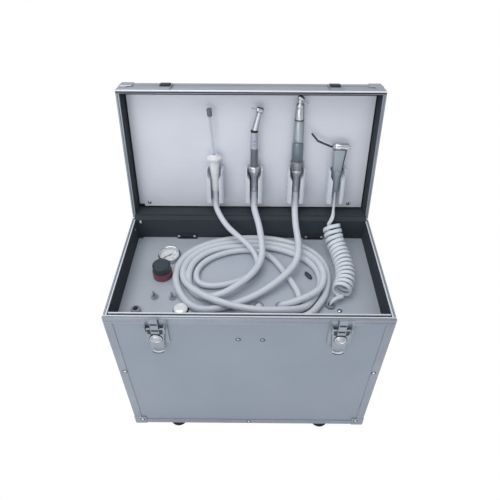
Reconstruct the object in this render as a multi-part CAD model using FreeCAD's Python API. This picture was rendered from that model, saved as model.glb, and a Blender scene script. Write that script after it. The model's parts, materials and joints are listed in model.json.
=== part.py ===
import FreeCAD, Part
import math
import os

# Portable dental unit: a flight case with a control panel over its compressor bay, and an instrument
# panel in the lid. Millimetres. Everything is drawn in the case frame: x to the right, y from the
# front face to the back, z up from the underside of the case. save() moves it to the part's frame,
# whose origin lies on the resting surface under the middle of the open unit.

V = FreeCAD.Vector
X_AXIS = V(1, 0, 0)
Y_AXIS = V(0, 1, 0)
Z_AXIS = V(0, 0, 1)

# Case
CASE_W = 430.0
CASE_D = 229.0
CASE_H = 319.0
BOARD = 5.0
EDGE = 1.0
RIM_T = 3.0
RIM_LIP = 14.0
TRIM_LEG = 13.0
CORNER_LEG = 22.0
CORNER_T = 1.6
FOOT_H = 14.0
FOOT_R = 14.0
FOOT_X = 136.0
FOOT_INSET = 17.0
INNER_X = CASE_W / 2 - EDGE - BOARD
INNER_Y0 = EDGE + BOARD
INNER_Y1 = CASE_D - EDGE - BOARD

# Lid, which leans back past upright when open
LID_T = 48.0
LID_LEAN = 10.95
RIM_GAP = 0.4
LID_PANEL_Q = 28.0
LID_PANEL_T = 2.0
LID_PANEL_S0 = 10.0
LID_PANEL_S1 = 215.0
LID_PANEL_X = 206.0
LID_SCREWS = ((-187.5, 17.0), (181.0, 17.5))

# Lid hinges
HINGE_X = 117.0
HINGE_HALF = 18.5
KNUCKLES = 5
KNUCKLE_R = 3.0
KNUCKLE_GAP = 0.3
HINGE_PIN_R = 1.5
PIN_CLEARANCE = 0.05
LEAF_T = 1.2
CASE_LEAF_Z = 268.0
LID_LEAF_Q = 30.0

# Latches
LATCH_X = (-139.2, 136.5)
LATCH_PLATE_W = 36.0
LATCH_PLATE_Z0 = 262.0
LATCH_PLATE_T = 1.5
LATCH_PIVOT_Y = -5.8
LATCH_PIVOT_Z = 301.0
HOOK_PIVOT_DROP = 9.0
LEVER_W = 26.0
LEVER_BOTTOM = 239.0
LEVER_T = 2.4
LEVER_BUTTON_Z = 277.5
LEVER_BUTTON_R = 9.0
HOOK_W = 12.0
HOOK_T = 2.2
FORK_GAP = 0.4
STRIKE_W = 22.0
STRIKE_LIP_Q = 1.0
STRIKE_LIP_T = 2.0
CLAW_GAP = 0.3

# Control panel
PANEL_Z = CASE_H - 42.0
PANEL_T = 2.0
FLANGE_H = 14.0
FLANGE_T = 1.5
HINGE_NOTCH_D = 5.0
CORNER_NOTCH = 9.0
GAUGE = (-144.0, 171.0)
GAUGE_R = 20.0
GAUGE_H = 7.0
REGULATOR = (-149.2, 125.0)
REGULATOR_R = 16.5
KNOB_R = 15.0
LOCK_RING_TOP = 290.0
KNOB_TOP = 304.5
TOGGLES = ((-155.5, 76.0), (-126.0, 75.0))
TOGGLE_TILT = 12.0
FILLER = (-109.5, 49.0)
FILLER_R = 11.0
SOCKET = (-180.0, 46.0)
PANEL_SCREWS = ((144.0, 50.0), (-201.0, 14.0), (201.0, 14.0))
FRONT_RIVETS = ((-16.8, 267.5), (20.6, 266.4))

# Hoses and their glands: suction, turbine, motor, syringe
SUCTION_R = 5.0
HOSE_R = 5.7
LEAD_R = 4.0
CURL_R = 17.0
GLANDS = ((81.0, 65.0, SUCTION_R), (50.0, 56.0, HOSE_R), (14.0, 57.0, HOSE_R), (130.0, 60.0, LEAD_R))
GLAND_H = 4.0
GLAND_WALL = 3.2
COIL_CENTRE = (1.0, 130.0)
COIL_OUTER = (133.0, 91.0)
COIL_INNER = (87.0, 48.0)
COIL_H = 22.0

# Instrument holders and the instruments, in the lid frame: x, s up the lid, p out of the lid panel
HOLDER_X = (-63.0, 6.0, 80.3, 151.0)
HOLDER_W = 31.0
HOLDER_DEPTH = 30.0
HOLDER_S0 = 31.0
HOLDER_S1 = 93.0
FUNNEL_S0 = 75.0
FUNNEL_S1 = 83.0
CONE_S0 = 79.0
CONE_S1 = 87.0
SLOT_R = 7.3
FUNNEL_R = 11.9
AXIS_P = 15.0
AXIS_Q = LID_PANEL_Q - AXIS_P
SEAT_GAP = 0.35
TAIL_R = SLOT_R - SEAT_GAP
TAIL_S = 50.0
HOSE_IN_TAIL = 2.0
BORE_GAP = 0.3
COLLAR_R = 11.4

# Carrying handle on the outside of the lid
HANDLE_S = 125.0
HANDLE_Q = 54.0
HANDLE_HALF = 60.0
HANDLE_DROP = 38.0
HANDLE_R = 5.5

# Compressor bay
MOTOR_AXIS = (115.0, 74.0)
MOTOR_R = 42.0
MOTOR_X = (-5.0, 85.0)
ROTOR_R = 34.0
SHAFT_R = 6.0
TANK_R = 40.0
BOTTLE_R = 36.0
INLET = (150.0, 60.0)

# The origin: middle of the unit from the latch buttons to the back of the open lid
Y_CENTRE = 155.5


def box(x0, x1, y0, y1, z0, z1):
    """A block between two corners."""
    return Part.makeBox(x1 - x0, y1 - y0, z1 - z0, V(x0, y0, z0))


def rod(start, direction, radius, length):
    """A round bar."""
    return Part.makeCylinder(radius, length, start, direction)


def tube(start, direction, outer, inner, length):
    """A round pipe."""
    return rod(start, direction, outer, length).cut(rod(start, direction, inner, length))


def joined(shapes):
    """One solid from several that touch or overlap."""
    return shapes[0].fuse(shapes[1:]).removeSplitter()


def group(shapes):
    """Several separate solids kept as one sub-part."""
    return Part.makeCompound(shapes)


def turned(outline, centre=V(0, 0, 0)):
    """A solid of revolution about Z from (radius, height) corners."""
    corners = [V(radius, 0, height) for radius, height in outline]
    face = Part.Face(Part.makePolygon(corners + corners[:1]))
    solid = face.revolve(V(0, 0, 0), Z_AXIS, 360)
    solid.translate(centre)
    return solid


def prism(corners, direction):
    """A flat outline pushed along a direction."""
    face = Part.Face(Part.makePolygon(corners + corners[:1]))
    return face.extrude(direction)


def moved(shape, x=0.0, y=0.0, z=0.0):
    """A shifted copy."""
    copy = shape.copy()
    copy.translate(V(x, y, z))
    return copy


def leaned(shape):
    """Takes a shape from the upright lid frame (x, q back, s up) to the open lid."""
    copy = shape.copy()
    copy.rotate(V(0, 0, 0), X_AXIS, -LID_LEAN)
    copy.translate(V(0, CASE_D, CASE_H))
    return copy


def lid_point(x, s, q):
    """A point of the lid frame, on the open lid."""
    lean = math.radians(LID_LEAN)
    y = CASE_D + s * math.sin(lean) + q * math.cos(lean)
    z = CASE_H + s * math.cos(lean) - q * math.sin(lean)
    return V(x, y, z)


def save(name, shape):
    """Writes one sub-part in the part's frame."""
    placed = moved(shape, 0, -Y_CENTRE, FOOT_H)
    placed.exportStep("parts/" + name + ".step")
    print(name, len(placed.Solids), placed.isValid(), round(placed.Volume / 1000, 1))


def hinge_swing():
    """The room round the hinge knuckles, cut from whatever edges the case and lid have there."""
    cuts = []
    for x in (-HINGE_X, HINGE_X):
        start = V(x - HINGE_HALF - 0.5, 0, 0)
        cuts.append(rod(start, X_AXIS, KNUCKLE_R + 0.4, 2 * HINGE_HALF + 1.0))
    return cuts


def frame_boards(height, cap, lip_z):
    """Front, back and two side boards of a box that opens upwards from z = 0."""
    outer_x = CASE_W / 2 - EDGE
    return [
        box(-outer_x, outer_x, EDGE, INNER_Y0, lip_z, height),
        box(-outer_x, outer_x, INNER_Y1, CASE_D - EDGE, lip_z, height),
        box(-outer_x, -INNER_X, INNER_Y0, INNER_Y1, lip_z, height),
        box(INNER_X, outer_x, INNER_Y0, INNER_Y1, lip_z, height),
        cap,
    ]


def rim_lengths(top_z, sign):
    """Four lengths of rim channel: a cap over the boards' edges and a lip down their outsides."""
    half = CASE_W / 2
    low = min(top_z, top_z - sign * RIM_T)
    high = max(top_z, top_z - sign * RIM_T)
    lip_low = min(top_z, top_z - sign * RIM_LIP)
    lip_high = max(top_z, top_z - sign * RIM_LIP)
    width = BOARD + EDGE
    front = box(-half, half, 0, width, low, high)
    front_lip = box(-half, half, 0, EDGE, lip_low, lip_high)
    back = box(-half, half, CASE_D - width, CASE_D, low, high)
    back_lip = box(-half, half, CASE_D - EDGE, CASE_D, lip_low, lip_high)
    pieces = [joined([front, front_lip]), joined([back, back_lip])]
    for side in (-1, 1):
        x0, x1 = sorted((side * half, side * (half - width)))
        l0, l1 = sorted((side * half, side * (half - EDGE)))
        cap = box(x0, x1, width, CASE_D - width, low, high)
        lip = box(l0, l1, EDGE, CASE_D - EDGE, lip_low, lip_high)
        piece = joined([cap, lip])
        pieces.append(piece.cut(pieces[0]).cut(pieces[1]))
    return pieces


def corner_trims(low, high, end_low, end_high):
    """Angle trims up the four corners, and along the closed end, standing EDGE out of the boards."""
    half = CASE_W / 2
    solid = box(-half, half, 0, CASE_D, low, high)
    core = box(-half + EDGE, half - EDGE, EDGE, CASE_D - EDGE, low, high)
    shell = solid.cut(core)
    trims = []
    for x0, x1 in ((-half, -half + TRIM_LEG), (half - TRIM_LEG, half)):
        for y0, y1 in ((0, TRIM_LEG), (CASE_D - TRIM_LEG, CASE_D)):
            trims.append(shell.common(box(x0, x1, y0, y1, low, high)))
    end = box(-half, half, 0, CASE_D, end_low, end_high)
    inner_low = end_low + (EDGE if end_low < low else 0)
    inner_high = end_high - (EDGE if end_high > high else 0)
    end = end.cut(box(-half + EDGE, half - EDGE, EDGE, CASE_D - EDGE, inner_low, inner_high))
    middle = box(-half + TRIM_LEG, half - TRIM_LEG, TRIM_LEG, CASE_D - TRIM_LEG, end_low, end_high)
    end = end.cut(middle)
    for y0, y1 in ((0, TRIM_LEG), (CASE_D - TRIM_LEG, CASE_D)):
        trims.append(end.common(box(-half, half, y0, y1, end_low, end_high)))
    for x0, x1 in ((-half, -half + TRIM_LEG), (half - TRIM_LEG, half)):
        trims.append(end.common(box(x0, x1, TRIM_LEG, CASE_D - TRIM_LEG, end_low, end_high)))
    return trims


def ball_corners(end_z, sign):
    """Pressed steel caps over the four corners of a closed end."""
    caps = []
    for sx in (-1, 1):
        for y_out, sy in ((0.0, 1), (CASE_D, -1)):
            x_out = sx * CASE_W / 2
            x0, x1 = sorted((x_out + sx * CORNER_T, x_out - sx * CORNER_LEG))
            y0, y1 = sorted((y_out - sy * CORNER_T, y_out + sy * CORNER_LEG))
            z0, z1 = sorted((end_z - sign * CORNER_T, end_z + sign * CORNER_LEG))
            cap = box(x0, x1, y0, y1, z0, z1)
            cap = cap.makeFillet(3.0, cap.Edges)
            half = CASE_W / 2
            core_z = sorted((end_z, end_z + sign * 60))
            core = box(-half, half, 0, CASE_D, core_z[0], core_z[1])
            caps.append(cap.cut(core))
    return caps


def case_shell():
    """Boards, rim, edge trims and corners of the case."""
    floor = box(-INNER_X, INNER_X, INNER_Y0, INNER_Y1, EDGE, EDGE + BOARD)
    boards = frame_boards(CASE_H - RIM_T, floor, EDGE)
    knuckle_room = [moved(c, 0, CASE_D, CASE_H) for c in hinge_swing()]
    boards[1] = boards[1].cut(group(knuckle_room))
    hole = box(INLET[0] - 14, INLET[0] + 14, INNER_Y1 - 1, CASE_D, INLET[1] - 24, INLET[1] + 24)
    boards[1] = boards[1].cut(hole)
    save("case_boards", group(boards))
    rim = rim_lengths(CASE_H, 1)
    rim[1] = rim[1].cut(group(knuckle_room))
    for x in (-HINGE_X, HINGE_X):
        room = box(x - HINGE_HALF - 1, x + HINGE_HALF + 1, CASE_D - EDGE, CASE_D, CASE_H - RIM_LIP, CASE_H)
        rim[1] = rim[1].cut(room)
    save("case_rim", group(rim))
    trims = corner_trims(TRIM_LEG, CASE_H - RIM_LIP, 0, TRIM_LEG)
    save("case_edge_trims", group(trims + ball_corners(0.0, 1)))


def rubber_feet():
    """Four rubber feet, cut where they pass the bottom trims, and the compressor's four rubber mounts."""
    trims = group(corner_trims(TRIM_LEG, CASE_H - RIM_LIP, 0, TRIM_LEG))
    pieces = []
    for x in (-FOOT_X, FOOT_X):
        for y in (FOOT_INSET, CASE_D - FOOT_INSET):
            foot = Part.makeCone(FOOT_R - 1.5, FOOT_R, FOOT_H + EDGE, V(x, y, -FOOT_H), Z_AXIS)
            pieces.append(foot.cut(trims))
    axis_y = MOTOR_AXIS[0]
    for x in (MOTOR_X[0] - 42, MOTOR_X[1] + 42):
        for y in (axis_y - 38, axis_y + 38):
            pieces.append(rod(V(x, y, EDGE + BOARD), Z_AXIS, 9, 16))
    save("rubber_feet", group(pieces))


def dome(centre, direction, radius, height):
    """A domed rivet or screw head, flat side on the given plane."""
    sphere_r = (radius * radius + height * height) / (2 * height)
    middle = centre - direction * (sphere_r - height)
    ball = Part.makeSphere(sphere_r, middle)
    return ball.common(rod(centre, direction, radius + 0.5, height))


def case_fasteners():
    """Rivets of the panel flange and the hinges, and the panel screws."""
    heads = []
    for x, z in FRONT_RIVETS:
        heads.append(dome(V(x, EDGE, z), V(0, -1, 0), 3.2, 1.8))
    for x in (-HINGE_X, HINGE_X):
        for dx in (-12.5, 12.5):
            heads.append(dome(V(x + dx, INNER_Y1, PANEL_Z + 2.5), V(0, -1, 0), 2.4, 1.8))
    for x, y in PANEL_SCREWS:
        heads.append(dome(V(x, y, PANEL_Z), Z_AXIS, 4.2, 2.0))
    heads.append(dome(V(-INNER_X, INNER_Y1 - 14, CASE_H - 12), X_AXIS, 3.0, 2.0))
    save("case_fasteners", group(heads))


def hinge_knuckles(x, mine):
    """The knuckles that one leaf owns, as (start, length) along X."""
    pitch = 2 * HINGE_HALF / KNUCKLES
    spans = []
    for index in range(KNUCKLES):
        if (index % 2 == 0) == mine:
            start = x - HINGE_HALF + index * pitch
            spans.append((start + KNUCKLE_GAP / 2, pitch - KNUCKLE_GAP))
    return spans


def hinges():
    """Two butt hinges: case leaf with its pin, and lid leaf running on that pin."""
    case_leaves = []
    lid_leaves = []
    clear_z = CASE_H - KNUCKLE_R - 0.5
    for x in (-HINGE_X, HINGE_X):
        leaf = [box(x - HINGE_HALF, x + HINGE_HALF, CASE_D, CASE_D + LEAF_T, CASE_LEAF_Z, clear_z)]
        leaf.append(box(x - HINGE_HALF, x + HINGE_HALF, CASE_D - EDGE, CASE_D, CASE_LEAF_Z, CASE_H - RIM_LIP))
        for start, length in hinge_knuckles(x, True):
            leaf.append(rod(V(start, CASE_D, CASE_H), X_AXIS, KNUCKLE_R, length))
            leaf.append(box(start, start + length, CASE_D, CASE_D + LEAF_T, clear_z - 1, CASE_H - 1))
        leaf.append(rod(V(x - HINGE_HALF, CASE_D, CASE_H), X_AXIS, HINGE_PIN_R, 2 * HINGE_HALF))
        case_leaves.append(joined(leaf))
        clear_s = KNUCKLE_R + 0.5
        leaf = [box(x - HINGE_HALF, x + HINGE_HALF, clear_s, LID_LEAF_Q, -LEAF_T, 0)]
        for start, length in hinge_knuckles(x, False):
            knuckle = rod(V(start, 0, 0), X_AXIS, KNUCKLE_R, length)
            leaf.append(knuckle)
            leaf.append(box(start, start + length, 1.0, clear_s + 1, -LEAF_T, 0))
        bore = rod(V(x - HINGE_HALF - 1, 0, 0), X_AXIS, HINGE_PIN_R + PIN_CLEARANCE, 2 * HINGE_HALF + 2)
        lid_leaves.append(joined(leaf).cut(bore))
    save("hinge_case_leaves", group(case_leaves))
    save("hinge_lid_leaves", leaned(group(lid_leaves)))


def latch_plate(x):
    """The fixed plate of a latch, riveted to the front, with two pivot ears."""
    half = LATCH_PLATE_W / 2
    top = CASE_H - 1
    plate = box(x - half, x + half, -LATCH_PLATE_T, EDGE, LATCH_PLATE_Z0, top)
    plate = plate.cut(box(x - half, x + half, 0, EDGE, CASE_H - RIM_LIP, top))
    ears = []
    for side in (-1, 1):
        x0, x1 = sorted((x + side * (LEVER_W / 2 + 0.4), x + side * (LEVER_W / 2 + 2.6)))
        ears.append(box(x0, x1, LATCH_PIVOT_Y - 3, -LATCH_PLATE_T, LATCH_PIVOT_Z - 6, LATCH_PIVOT_Z + 6))
    plate = joined([plate] + ears)
    pivot = V(x - half, LATCH_PIVOT_Y, LATCH_PIVOT_Z)
    return plate.cut(rod(pivot, X_AXIS, 1.5 + PIN_CLEARANCE, LATCH_PLATE_W))


def latch_lever(x):
    """The thumb lever: forked at the top round the hook, with a round button and a finger lip."""
    half = LEVER_W / 2
    front = LATCH_PIVOT_Y - LEVER_T / 2
    back = LATCH_PIVOT_Y + LEVER_T / 2
    plate = box(x - half, x + half, front, back, LEVER_BOTTOM, LATCH_PIVOT_Z + 2)
    slot_half = HOOK_W / 2 + FORK_GAP
    slot = box(x - slot_half, x + slot_half, front, back, LATCH_PIVOT_Z - 17, LATCH_PIVOT_Z + 2)
    arms = []
    for side in (-1, 1):
        x0, x1 = sorted((x + side * (slot_half + 1), x + side * (half + 2.6)))
        arms.append(rod(V(x0, LATCH_PIVOT_Y, LATCH_PIVOT_Z), X_AXIS, 1.5, x1 - x0))
    pin = rod(V(x - slot_half - 1, LATCH_PIVOT_Y, LATCH_PIVOT_Z - HOOK_PIVOT_DROP), X_AXIS, 0.9, HOOK_W + 2.8)
    button = rod(V(x, back, LEVER_BUTTON_Z), V(0, -1, 0), LEVER_BUTTON_R, LEVER_T + 2.0)
    button = button.cut(rod(V(x, front - 2.0, LEVER_BUTTON_Z), Y_AXIS, LEVER_BUTTON_R - 2.5, 1.4))
    lip = box(x - 10, x + 10, front - 3.0, front, LEVER_BOTTOM, LEVER_BOTTOM + 2.5)
    return joined([plate.cut(slot)] + arms + [pin, button, lip])


def latch_hook(x):
    """The hook strip that the lever lifts over the strike."""
    half = HOOK_W / 2
    front = LATCH_PIVOT_Y - HOOK_T / 2
    back = LATCH_PIVOT_Y + HOOK_T / 2
    low = LATCH_PIVOT_Z - HOOK_PIVOT_DROP
    claw_low = CASE_H + STRIKE_LIP_Q + STRIKE_LIP_T + CLAW_GAP
    strip = box(x - half, x + half, front, back, low - 2, claw_low + 2)
    claw = box(x - half, x + half, front, back + 2.6, claw_low, claw_low + 2)
    bore = rod(V(x - half, LATCH_PIVOT_Y, low), X_AXIS, 0.9 + PIN_CLEARANCE, HOOK_W)
    return joined([strip, claw]).cut(bore)


def latch_strike(x):
    """The catch on the lid front that the hook pulls down, in the lid frame."""
    half = STRIKE_W / 2
    top = CASE_D
    plate = box(x - half, x + half, 4.0, 40.0, top, top + 1.5)
    lip_q1 = STRIKE_LIP_Q + STRIKE_LIP_T
    lip = box(x - half, x + half, STRIKE_LIP_Q, lip_q1, top, top + 4.0)
    neck = box(x - half, x + half, STRIKE_LIP_Q, 5.0, top, top + 1.5)
    return joined([plate, lip, neck])


def latches():
    save("latch_plates", group([latch_plate(x) for x in LATCH_X]))
    save("latch_strikes", leaned(group([latch_strike(x) for x in LATCH_X])))
    for side, x in zip(("left", "right"), LATCH_X):
        save("latch_lever_" + side, latch_lever(x))
        save("latch_hook_" + side, latch_hook(x))


def control_panel():
    """Folded sheet panel with down-turned flanges, cut for its fittings."""
    top = PANEL_Z
    low = PANEL_Z - PANEL_T
    panel = box(-INNER_X, INNER_X, INNER_Y0, INNER_Y1, low, top)
    skirt = box(-INNER_X, INNER_X, INNER_Y0, INNER_Y1, low - FLANGE_H, low)
    hollow = box(
        -INNER_X + FLANGE_T, INNER_X - FLANGE_T, INNER_Y0 + FLANGE_T, INNER_Y1 - FLANGE_T, low - FLANGE_H, low
    )
    panel = joined([panel, skirt.cut(hollow)])
    cuts = []
    for x in (-HINGE_X, HINGE_X):
        cuts.append(box(x - HINGE_HALF, x + HINGE_HALF, INNER_Y1 - HINGE_NOTCH_D, INNER_Y1, low - FLANGE_H, top))
    notch_x = -INNER_X + CORNER_NOTCH
    cuts.append(box(-INNER_X, notch_x, INNER_Y1 - CORNER_NOTCH / 2, INNER_Y1, low - FLANGE_H, top))
    holes = [(GAUGE, 17.0), (REGULATOR, 9.0), (FILLER, 9.0), (SOCKET, 5.5)]
    holes += [(centre, 4.0) for centre in TOGGLES]
    holes += [((x, y), radius + GLAND_WALL - 1.0) for x, y, radius in GLANDS]
    for (x, y), radius in holes:
        cuts.append(rod(V(x, y, low - 1), Z_AXIS, radius, PANEL_T + 2))
    save("control_panel", panel.cut(group(cuts)))


def gauge():
    """Air pressure gauge: case with bezel, dial, needle on its spindle, and lens."""
    x, y = GAUGE
    z = PANEL_Z
    outline = ((0, z - 22), (17, z - 22), (17, z), (GAUGE_R, z), (GAUGE_R, z + GAUGE_H))
    outline += ((GAUGE_R - 2, z + GAUGE_H), (GAUGE_R - 2, z + 0.5), (0, z + 0.5))
    body = turned(outline, V(x, y, 0))
    body = body.cut(rod(V(x, y, z - 3), Z_AXIS, 1.05, 6))
    save("gauge_case", body)
    save("gauge_dial", tube(V(x, y, z + 1.2), Z_AXIS, GAUGE_R - 2, 1.6, 1.0))
    save("gauge_lens", rod(V(x, y, z + GAUGE_H - 1.2), Z_AXIS, GAUGE_R - 2, 1.2))
    spindle = rod(V(x, y, z - 2), Z_AXIS, 1.0, 6.4)
    pointer = box(x - 0.7, x + 14, y - 0.7, y + 0.7, z + 3.2, z + 4.0)
    tail = box(x - 5, x, y - 1.2, y + 1.2, z + 3.2, z + 4.0)
    needle = joined([spindle, pointer, tail])
    needle.rotate(V(x, y, 0), Z_AXIS, 215)
    save("gauge_needle", needle)


def regulator():
    """Pressure regulator: body and threaded neck, pull-up lock ring, and knob on a splined stem."""
    x, y = REGULATOR
    z = PANEL_Z
    outline = ((0, z - 42), (18, z - 42), (18, z - PANEL_T), (9, z - PANEL_T), (9, z + 9))
    outline += ((6.1, z + 9), (6.1, z - 30), (0, z - 30))
    save("regulator_body", turned(outline, V(x, y, 0)))
    ring = turned(((9.1, z + 0.4), (REGULATOR_R, z + 0.4), (REGULATOR_R, LOCK_RING_TOP),
                   (6.3, LOCK_RING_TOP), (6.3, z + 9.4), (9.1, z + 9.4)), V(x, y, 0))
    save("regulator_lock_ring", ring)
    knob = turned(((0, z - 20), (6.0, z - 20), (6.0, LOCK_RING_TOP + 0.3), (KNOB_R, LOCK_RING_TOP + 0.3),
                   (KNOB_R, KNOB_TOP - 2), (KNOB_R - 2, KNOB_TOP), (0, KNOB_TOP)), V(x, y, 0))
    flutes = []
    for index in range(12):
        angle = math.radians(30 * index)
        flute = V(x + 16.0 * math.cos(angle), y + 16.0 * math.sin(angle), LOCK_RING_TOP + 3)
        flutes.append(rod(flute, Z_AXIS, 1.9, KNOB_TOP))
    save("regulator_knob", knob.cut(group(flutes)))


def toggles():
    """Two small toggle valves: threaded bush with nut, and a lever on a cross pivot."""
    bases = []
    z = PANEL_Z
    for (x, y), name in zip(TOGGLES, ("air_toggle", "water_toggle")):
        bush = turned(((0, z - 30), (7.5, z - 30), (7.5, z - PANEL_T), (4, z - PANEL_T), (4, z),
                       (6.2, z), (6.2, z + 2.5), (4, z + 2.5), (4, z + 6), (0, z + 6)), V(x, y, 0))
        slot = box(x - 1.6, x + 1.6, y - 3.2, y + 3.2, z + 0.5, z + 6)
        bases.append(bush.cut(slot))
        stem = Part.makeCone(1.1, 1.9, 13, V(x, y, z + 3.2), Z_AXIS)
        lever = joined([stem, Part.makeSphere(2.0, V(x, y, z + 16.4))])
        heel = Part.makeSphere(1.3, V(x, y, z + 3.2))
        lever = joined([lever, heel])
        lever.rotate(V(x, y, z + 3.2), X_AXIS, TOGGLE_TILT)
        save(name, lever)
    save("toggle_bases", group(bases))


def filler_cap():
    """Chrome cap over the water bottle's neck, with a plug that hangs into the neck."""
    x, y = FILLER
    z = PANEL_Z
    cap = turned(((0, z - 8), (6.5, z - 8), (6.5, z + 1.3), (FILLER_R, z + 1.3), (FILLER_R, z + 5.5),
                  (FILLER_R - 2, z + 7.5), (0, z + 8.5)), V(x, y, 0))
    save("filler_cap", cap)


def panel_sockets():
    """Hose glands and the foot-pedal socket, threaded through the panel."""
    pieces = []
    z = PANEL_Z
    for x, y, radius in GLANDS:
        flange = radius + GLAND_WALL
        neck = flange - 1.0
        outline = ((radius, z - 12), (neck, z - 12), (neck, z), (flange + 0.6, z))
        outline += ((flange, z + GLAND_H), (radius, z + GLAND_H))
        pieces.append(turned(outline, V(x, y, 0)))
    x, y = SOCKET
    outline = ((0, z - 14), (5.5, z - 14), (5.5, z), (7.5, z), (7.5, z + 7), (6.5, z + 8))
    outline += ((4.4, z + 8), (4.4, z - 6), (0, z - 6))
    pieces.append(turned(outline, V(x, y, 0)))
    save("hose_glands", group(pieces))


def compressor():
    """Oil-free compressor on rubber mounts: motor shell with two cylinders, rotor with shaft."""
    y, z = MOTOR_AXIS
    x0, x1 = MOTOR_X
    base = box(x0 - 55, x1 + 55, y - 50, y + 50, 22, 26)
    saddle = box(x0 + 8, x1 - 8, y - 28, y + 28, 26, z - 20)
    shell = rod(V(x0, y, z), X_AXIS, MOTOR_R, x1 - x0)
    heads = []
    for middle in (x0 - 26, x1 + 26):
        heads.append(box(middle - 24, middle + 24, y - 30, y + 30, 26, z + 34))
        heads.append(rod(V(middle, y, z + 34), Z_AXIS, 23, 26))
        heads.append(box(middle - 26, middle + 26, y - 26, y + 26, z + 60, z + 72))
    body = joined([base, saddle, shell] + heads)
    body = body.cut(rod(V(x0 + 6, y, z), X_AXIS, MOTOR_R - 4, x1 - x0 - 12))
    body = body.cut(rod(V(x0 - 40, y, z), X_AXIS, SHAFT_R + PIN_CLEARANCE, x1 - x0 + 80))
    save("compressor_body", body)
    rotor = rod(V(x0 + 12, y, z), X_AXIS, ROTOR_R, x1 - x0 - 24)
    save("compressor_rotor", joined([rotor, rod(V(x0 - 38, y, z), X_AXIS, SHAFT_R, x1 - x0 + 76)]))


def tank_and_bottles():
    """Air tank on saddles, clean-water bottle under its filler, waste bottle beside it."""
    y = 166.0
    z = 58.0
    x0 = -203.0
    length = 118.0
    tank = rod(V(x0 + 12, y, z), X_AXIS, TANK_R, length - 24)
    ends = [Part.makeCone(TANK_R - 14, TANK_R, 12, V(x0, y, z), X_AXIS)]
    ends.append(Part.makeCone(TANK_R, TANK_R - 14, 12, V(x0 + length - 12, y, z), X_AXIS))
    saddles = [box(x0 + 24 + dx, x0 + 34 + dx, y - 26, y + 26, EDGE + BOARD, z - 20) for dx in (0, 60)]
    save("air_tank", joined([tank] + ends + saddles))
    x, y = FILLER
    low = 100.0
    clean = turned(((0, low), (BOTTLE_R - 3, low), (BOTTLE_R, low + 3), (BOTTLE_R, 205), (14, 225),
                    (9, 232), (9, PANEL_Z + 1), (6.8, PANEL_Z + 1), (6.8, 232), (0, 222)), V(x, y, 0))
    waste = turned(((0, low), (BOTTLE_R - 3, low), (BOTTLE_R, low + 3), (BOTTLE_R, 205), (20, 225),
                    (20, 240), (0, 240)), V(-28.0, 48.0, 0))
    save("bottles", group([clean, waste]))


def valve_block():
    """Manifold with its solenoid valves, hung under the panel between regulator and motor."""
    top = PANEL_Z - PANEL_T
    block = box(20, 100, 170, 200, top - 40, top)
    coils = []
    for x in (32, 60, 88):
        coils.append(box(x - 10, x + 10, 150, 170, top - 36, top - 12))
    save("valve_block", joined([block] + coils))


def power_inlet():
    """Mains inlet in the back board, with its switch frame and a rocker."""
    x, z = INLET
    flange = box(x - 18, x + 18, CASE_D - EDGE, CASE_D + 2, z - 30, z + 30)
    body = box(x - 14, x + 14, CASE_D - 26, CASE_D - EDGE, z - 24, z + 24)
    inlet = joined([flange, body])
    recess = box(x - 11, x + 11, CASE_D - 16, CASE_D + 2, z - 20, z - 3)
    window = box(x - 10, x + 10, CASE_D - 12, CASE_D + 2, z + 4, z + 20)
    pins = [box(x + dx - 1, x + dx + 1, CASE_D - 17, CASE_D - 8, z - 14, z - 10) for dx in (-6, 0, 6)]
    inlet = inlet.cut(recess).cut(window)
    save("power_inlet", joined([inlet] + pins))
    rocker_r = 12.0
    rocker = rod(V(x - 9.4, CASE_D - 8, z + 12), X_AXIS, rocker_r, 18.8)
    keep = box(x - 9.4, x + 9.4, CASE_D - 9, CASE_D + 4, z + 5.4, z + 18.6)
    save("power_rocker", rocker.common(keep))


def lid_shell():
    """Boards, rim, trims and corners of the lid, drawn closed-up and stood upright."""
    deck = box(-INNER_X, INNER_X, INNER_Y0, INNER_Y1, LID_T - EDGE - BOARD, LID_T - EDGE)
    boards = frame_boards(LID_T - EDGE, deck, RIM_GAP + RIM_T)
    rim = rim_lengths(RIM_GAP, -1)
    trims = corner_trims(RIM_GAP + RIM_LIP, LID_T - TRIM_LEG, LID_T - TRIM_LEG, LID_T)
    corners = ball_corners(LID_T, -1)
    room = [moved(c, 0, CASE_D, 0) for c in hinge_swing()]
    for x in (-HINGE_X, HINGE_X):
        room.append(box(x - HINGE_HALF - 1, x + HINGE_HALF + 1, CASE_D - EDGE, CASE_D, 0, RIM_LIP + RIM_GAP))
    rim[1] = rim[1].cut(group(room))
    boards[1] = boards[1].cut(group(room[:2]))

    def upright(shapes):
        shape = group(shapes)
        shape.translate(V(0, -CASE_D, 0))
        shape.rotate(V(0, 0, 0), X_AXIS, -90)
        return leaned(shape)

    save("lid_boards", upright(boards))
    save("lid_rim", upright(rim))
    save("lid_edge_trims", upright(trims + corners))


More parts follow.
